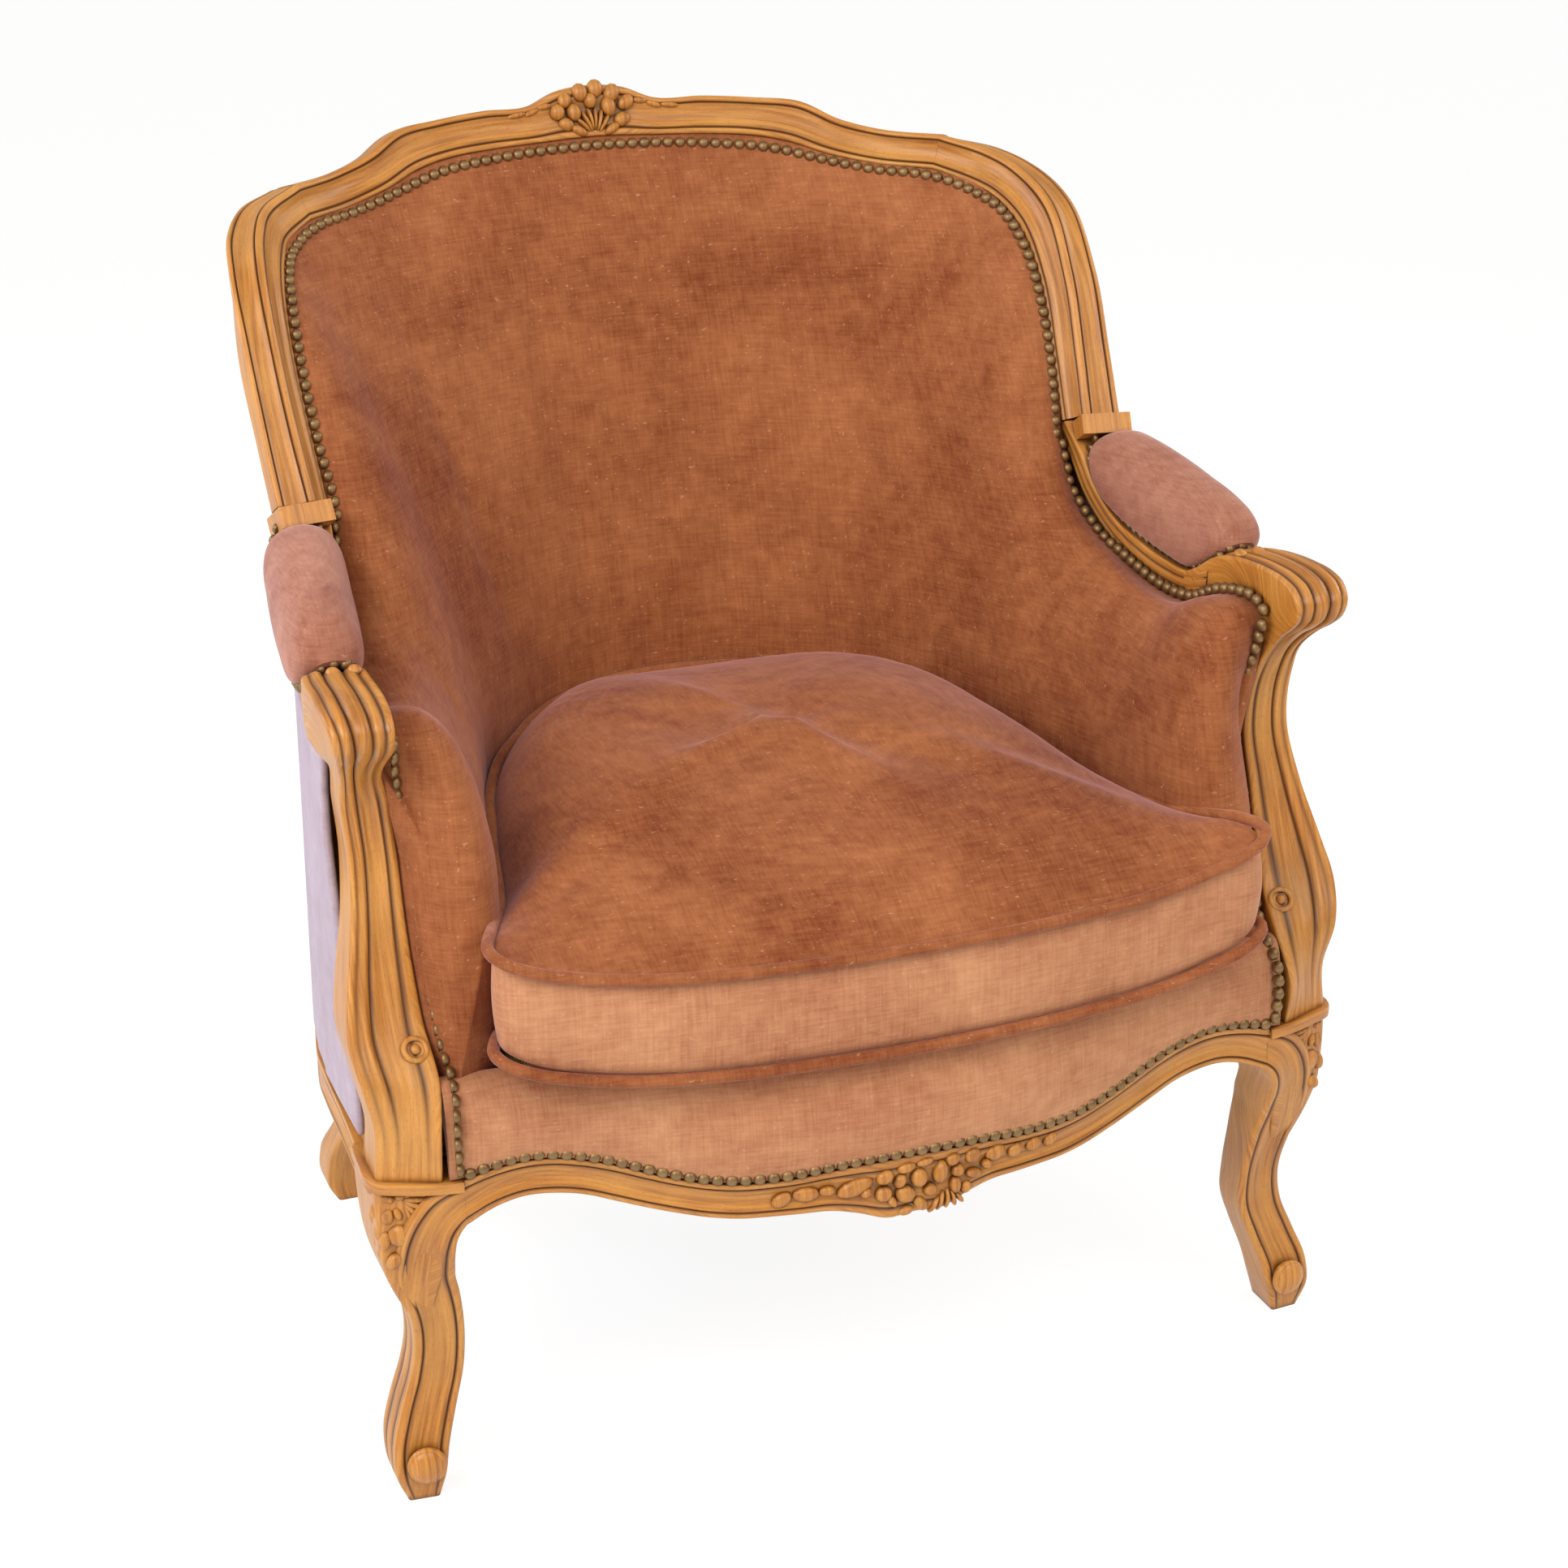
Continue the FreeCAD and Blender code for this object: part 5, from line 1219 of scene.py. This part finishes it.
PAD_NAILS = [(333, 50, 680), (328, 52, 660), (328, 43, 645), (331, 24, 631), (335, 1, 621), (337, -22, 615),
             (340, -46, 611), (343, -68, 608), (345, -91, 607), (348, -112, 608), (351, -130, 617),
             (355, -141, 627),
             (364, -144, 633), (374, -142, 631), (382, -134, 623), (387, -116, 609), (387, -91, 605),
             (384, -68, 605),
             (381, -46, 607), (378, -22, 611), (376, 1, 617), (374, 24, 627), (372, 43, 641), (370, 54, 660),
             (364, 58, 682), (348, 58, 690)]


def into_seat(p):
    return (-math.copysign(1.0, p[0]), -0.35, 0.1)


PAD_MIDDLE = 357


def round_pad(p):
    fore_and_aft = -6.0 if p[1] < -125 else (6.0 if p[1] > 50 else 0.0)
    return (math.copysign(abs(p[0]) - PAD_MIDDLE, p[0]), fore_and_aft, 3.0)


nail_row("nails_round_back", [(around_back, toward_sitter, 10.4, False)], "frame")
nail_row("nails_arms", both_sides(ARM_NAILS, into_seat, 10.6), "frame")
nail_row("nails_supports", both_sides(DOWN_NAILS, into_seat, 10.8), "frame")
nail_row("nails_front_rail", [(RAIL_NAILS, lambda p: (p[0] / 900, -1.0, 0.25), 10.2, False)], "frame")
nail_row("nails_armrest_pads", both_sides(PAD_NAILS, round_pad, 9.6, True), "frame")

# Under the seat: webs of jute over the rails, hessian, and thin black lining against dust.
jute = blank_material("woven_jute")
tree = jute.node_tree
place = node(tree, "ShaderNodeTexCoord").outputs["Object"]
weave_x = node(tree, "ShaderNodeTexWave", {"Vector": place, "Scale": 160.0, "Distortion": 1.0},
               bands_direction="X")
weave_y = node(tree, "ShaderNodeTexWave", {"Vector": place, "Scale": 160.0, "Distortion": 1.0},
               bands_direction="Y")
crossed = node(tree, "ShaderNodeMath", {0: weave_x.outputs["Fac"], 1: weave_y.outputs["Fac"]},
               operation="MULTIPLY")
tone = node(tree, "ShaderNodeMix", {"Factor": crossed.outputs[0], 6: linear("6E5433"), 7: linear("B59A6C")},
            data_type="RGBA")
raised = node(tree, "ShaderNodeBump", {"Height": crossed.outputs[0], "Strength": 0.4, "Distance": 0.0008})
body = node(tree, "ShaderNodeBsdfPrincipled", {"Base Color": tone.outputs[2], "Roughness": 0.9,
                                               "Normal": raised.outputs[0], "Specular IOR Level": 0.2})
node(tree, "ShaderNodeOutputMaterial", {"Surface": body.outputs[0]})
lining = blank_material("black_cotton_lining")
tree = lining.node_tree
place = node(tree, "ShaderNodeTexCoord").outputs["Object"]
grain = node(tree, "ShaderNodeTexNoise", {"Vector": place, "Scale": 700.0, "Detail": 2.0})
tone = node(tree, "ShaderNodeMix", {"Factor": grain.outputs["Fac"], 6: linear("17171A"), 7: linear("2E2D30")},
            data_type="RGBA")
body = node(tree, "ShaderNodeBsdfPrincipled", {"Base Color": tone.outputs[2], "Roughness": 0.95,
                                               "Specular IOR Level": 0.2})
node(tree, "ShaderNodeOutputMaterial", {"Surface": body.outputs[0]})
for name in ("seat_deck", "seat_burlap", "seat_webbing", "dust_cover"):
    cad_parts[name].data.materials.clear()
    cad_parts[name].data.materials.append(lining if name == "dust_cover" else jute)
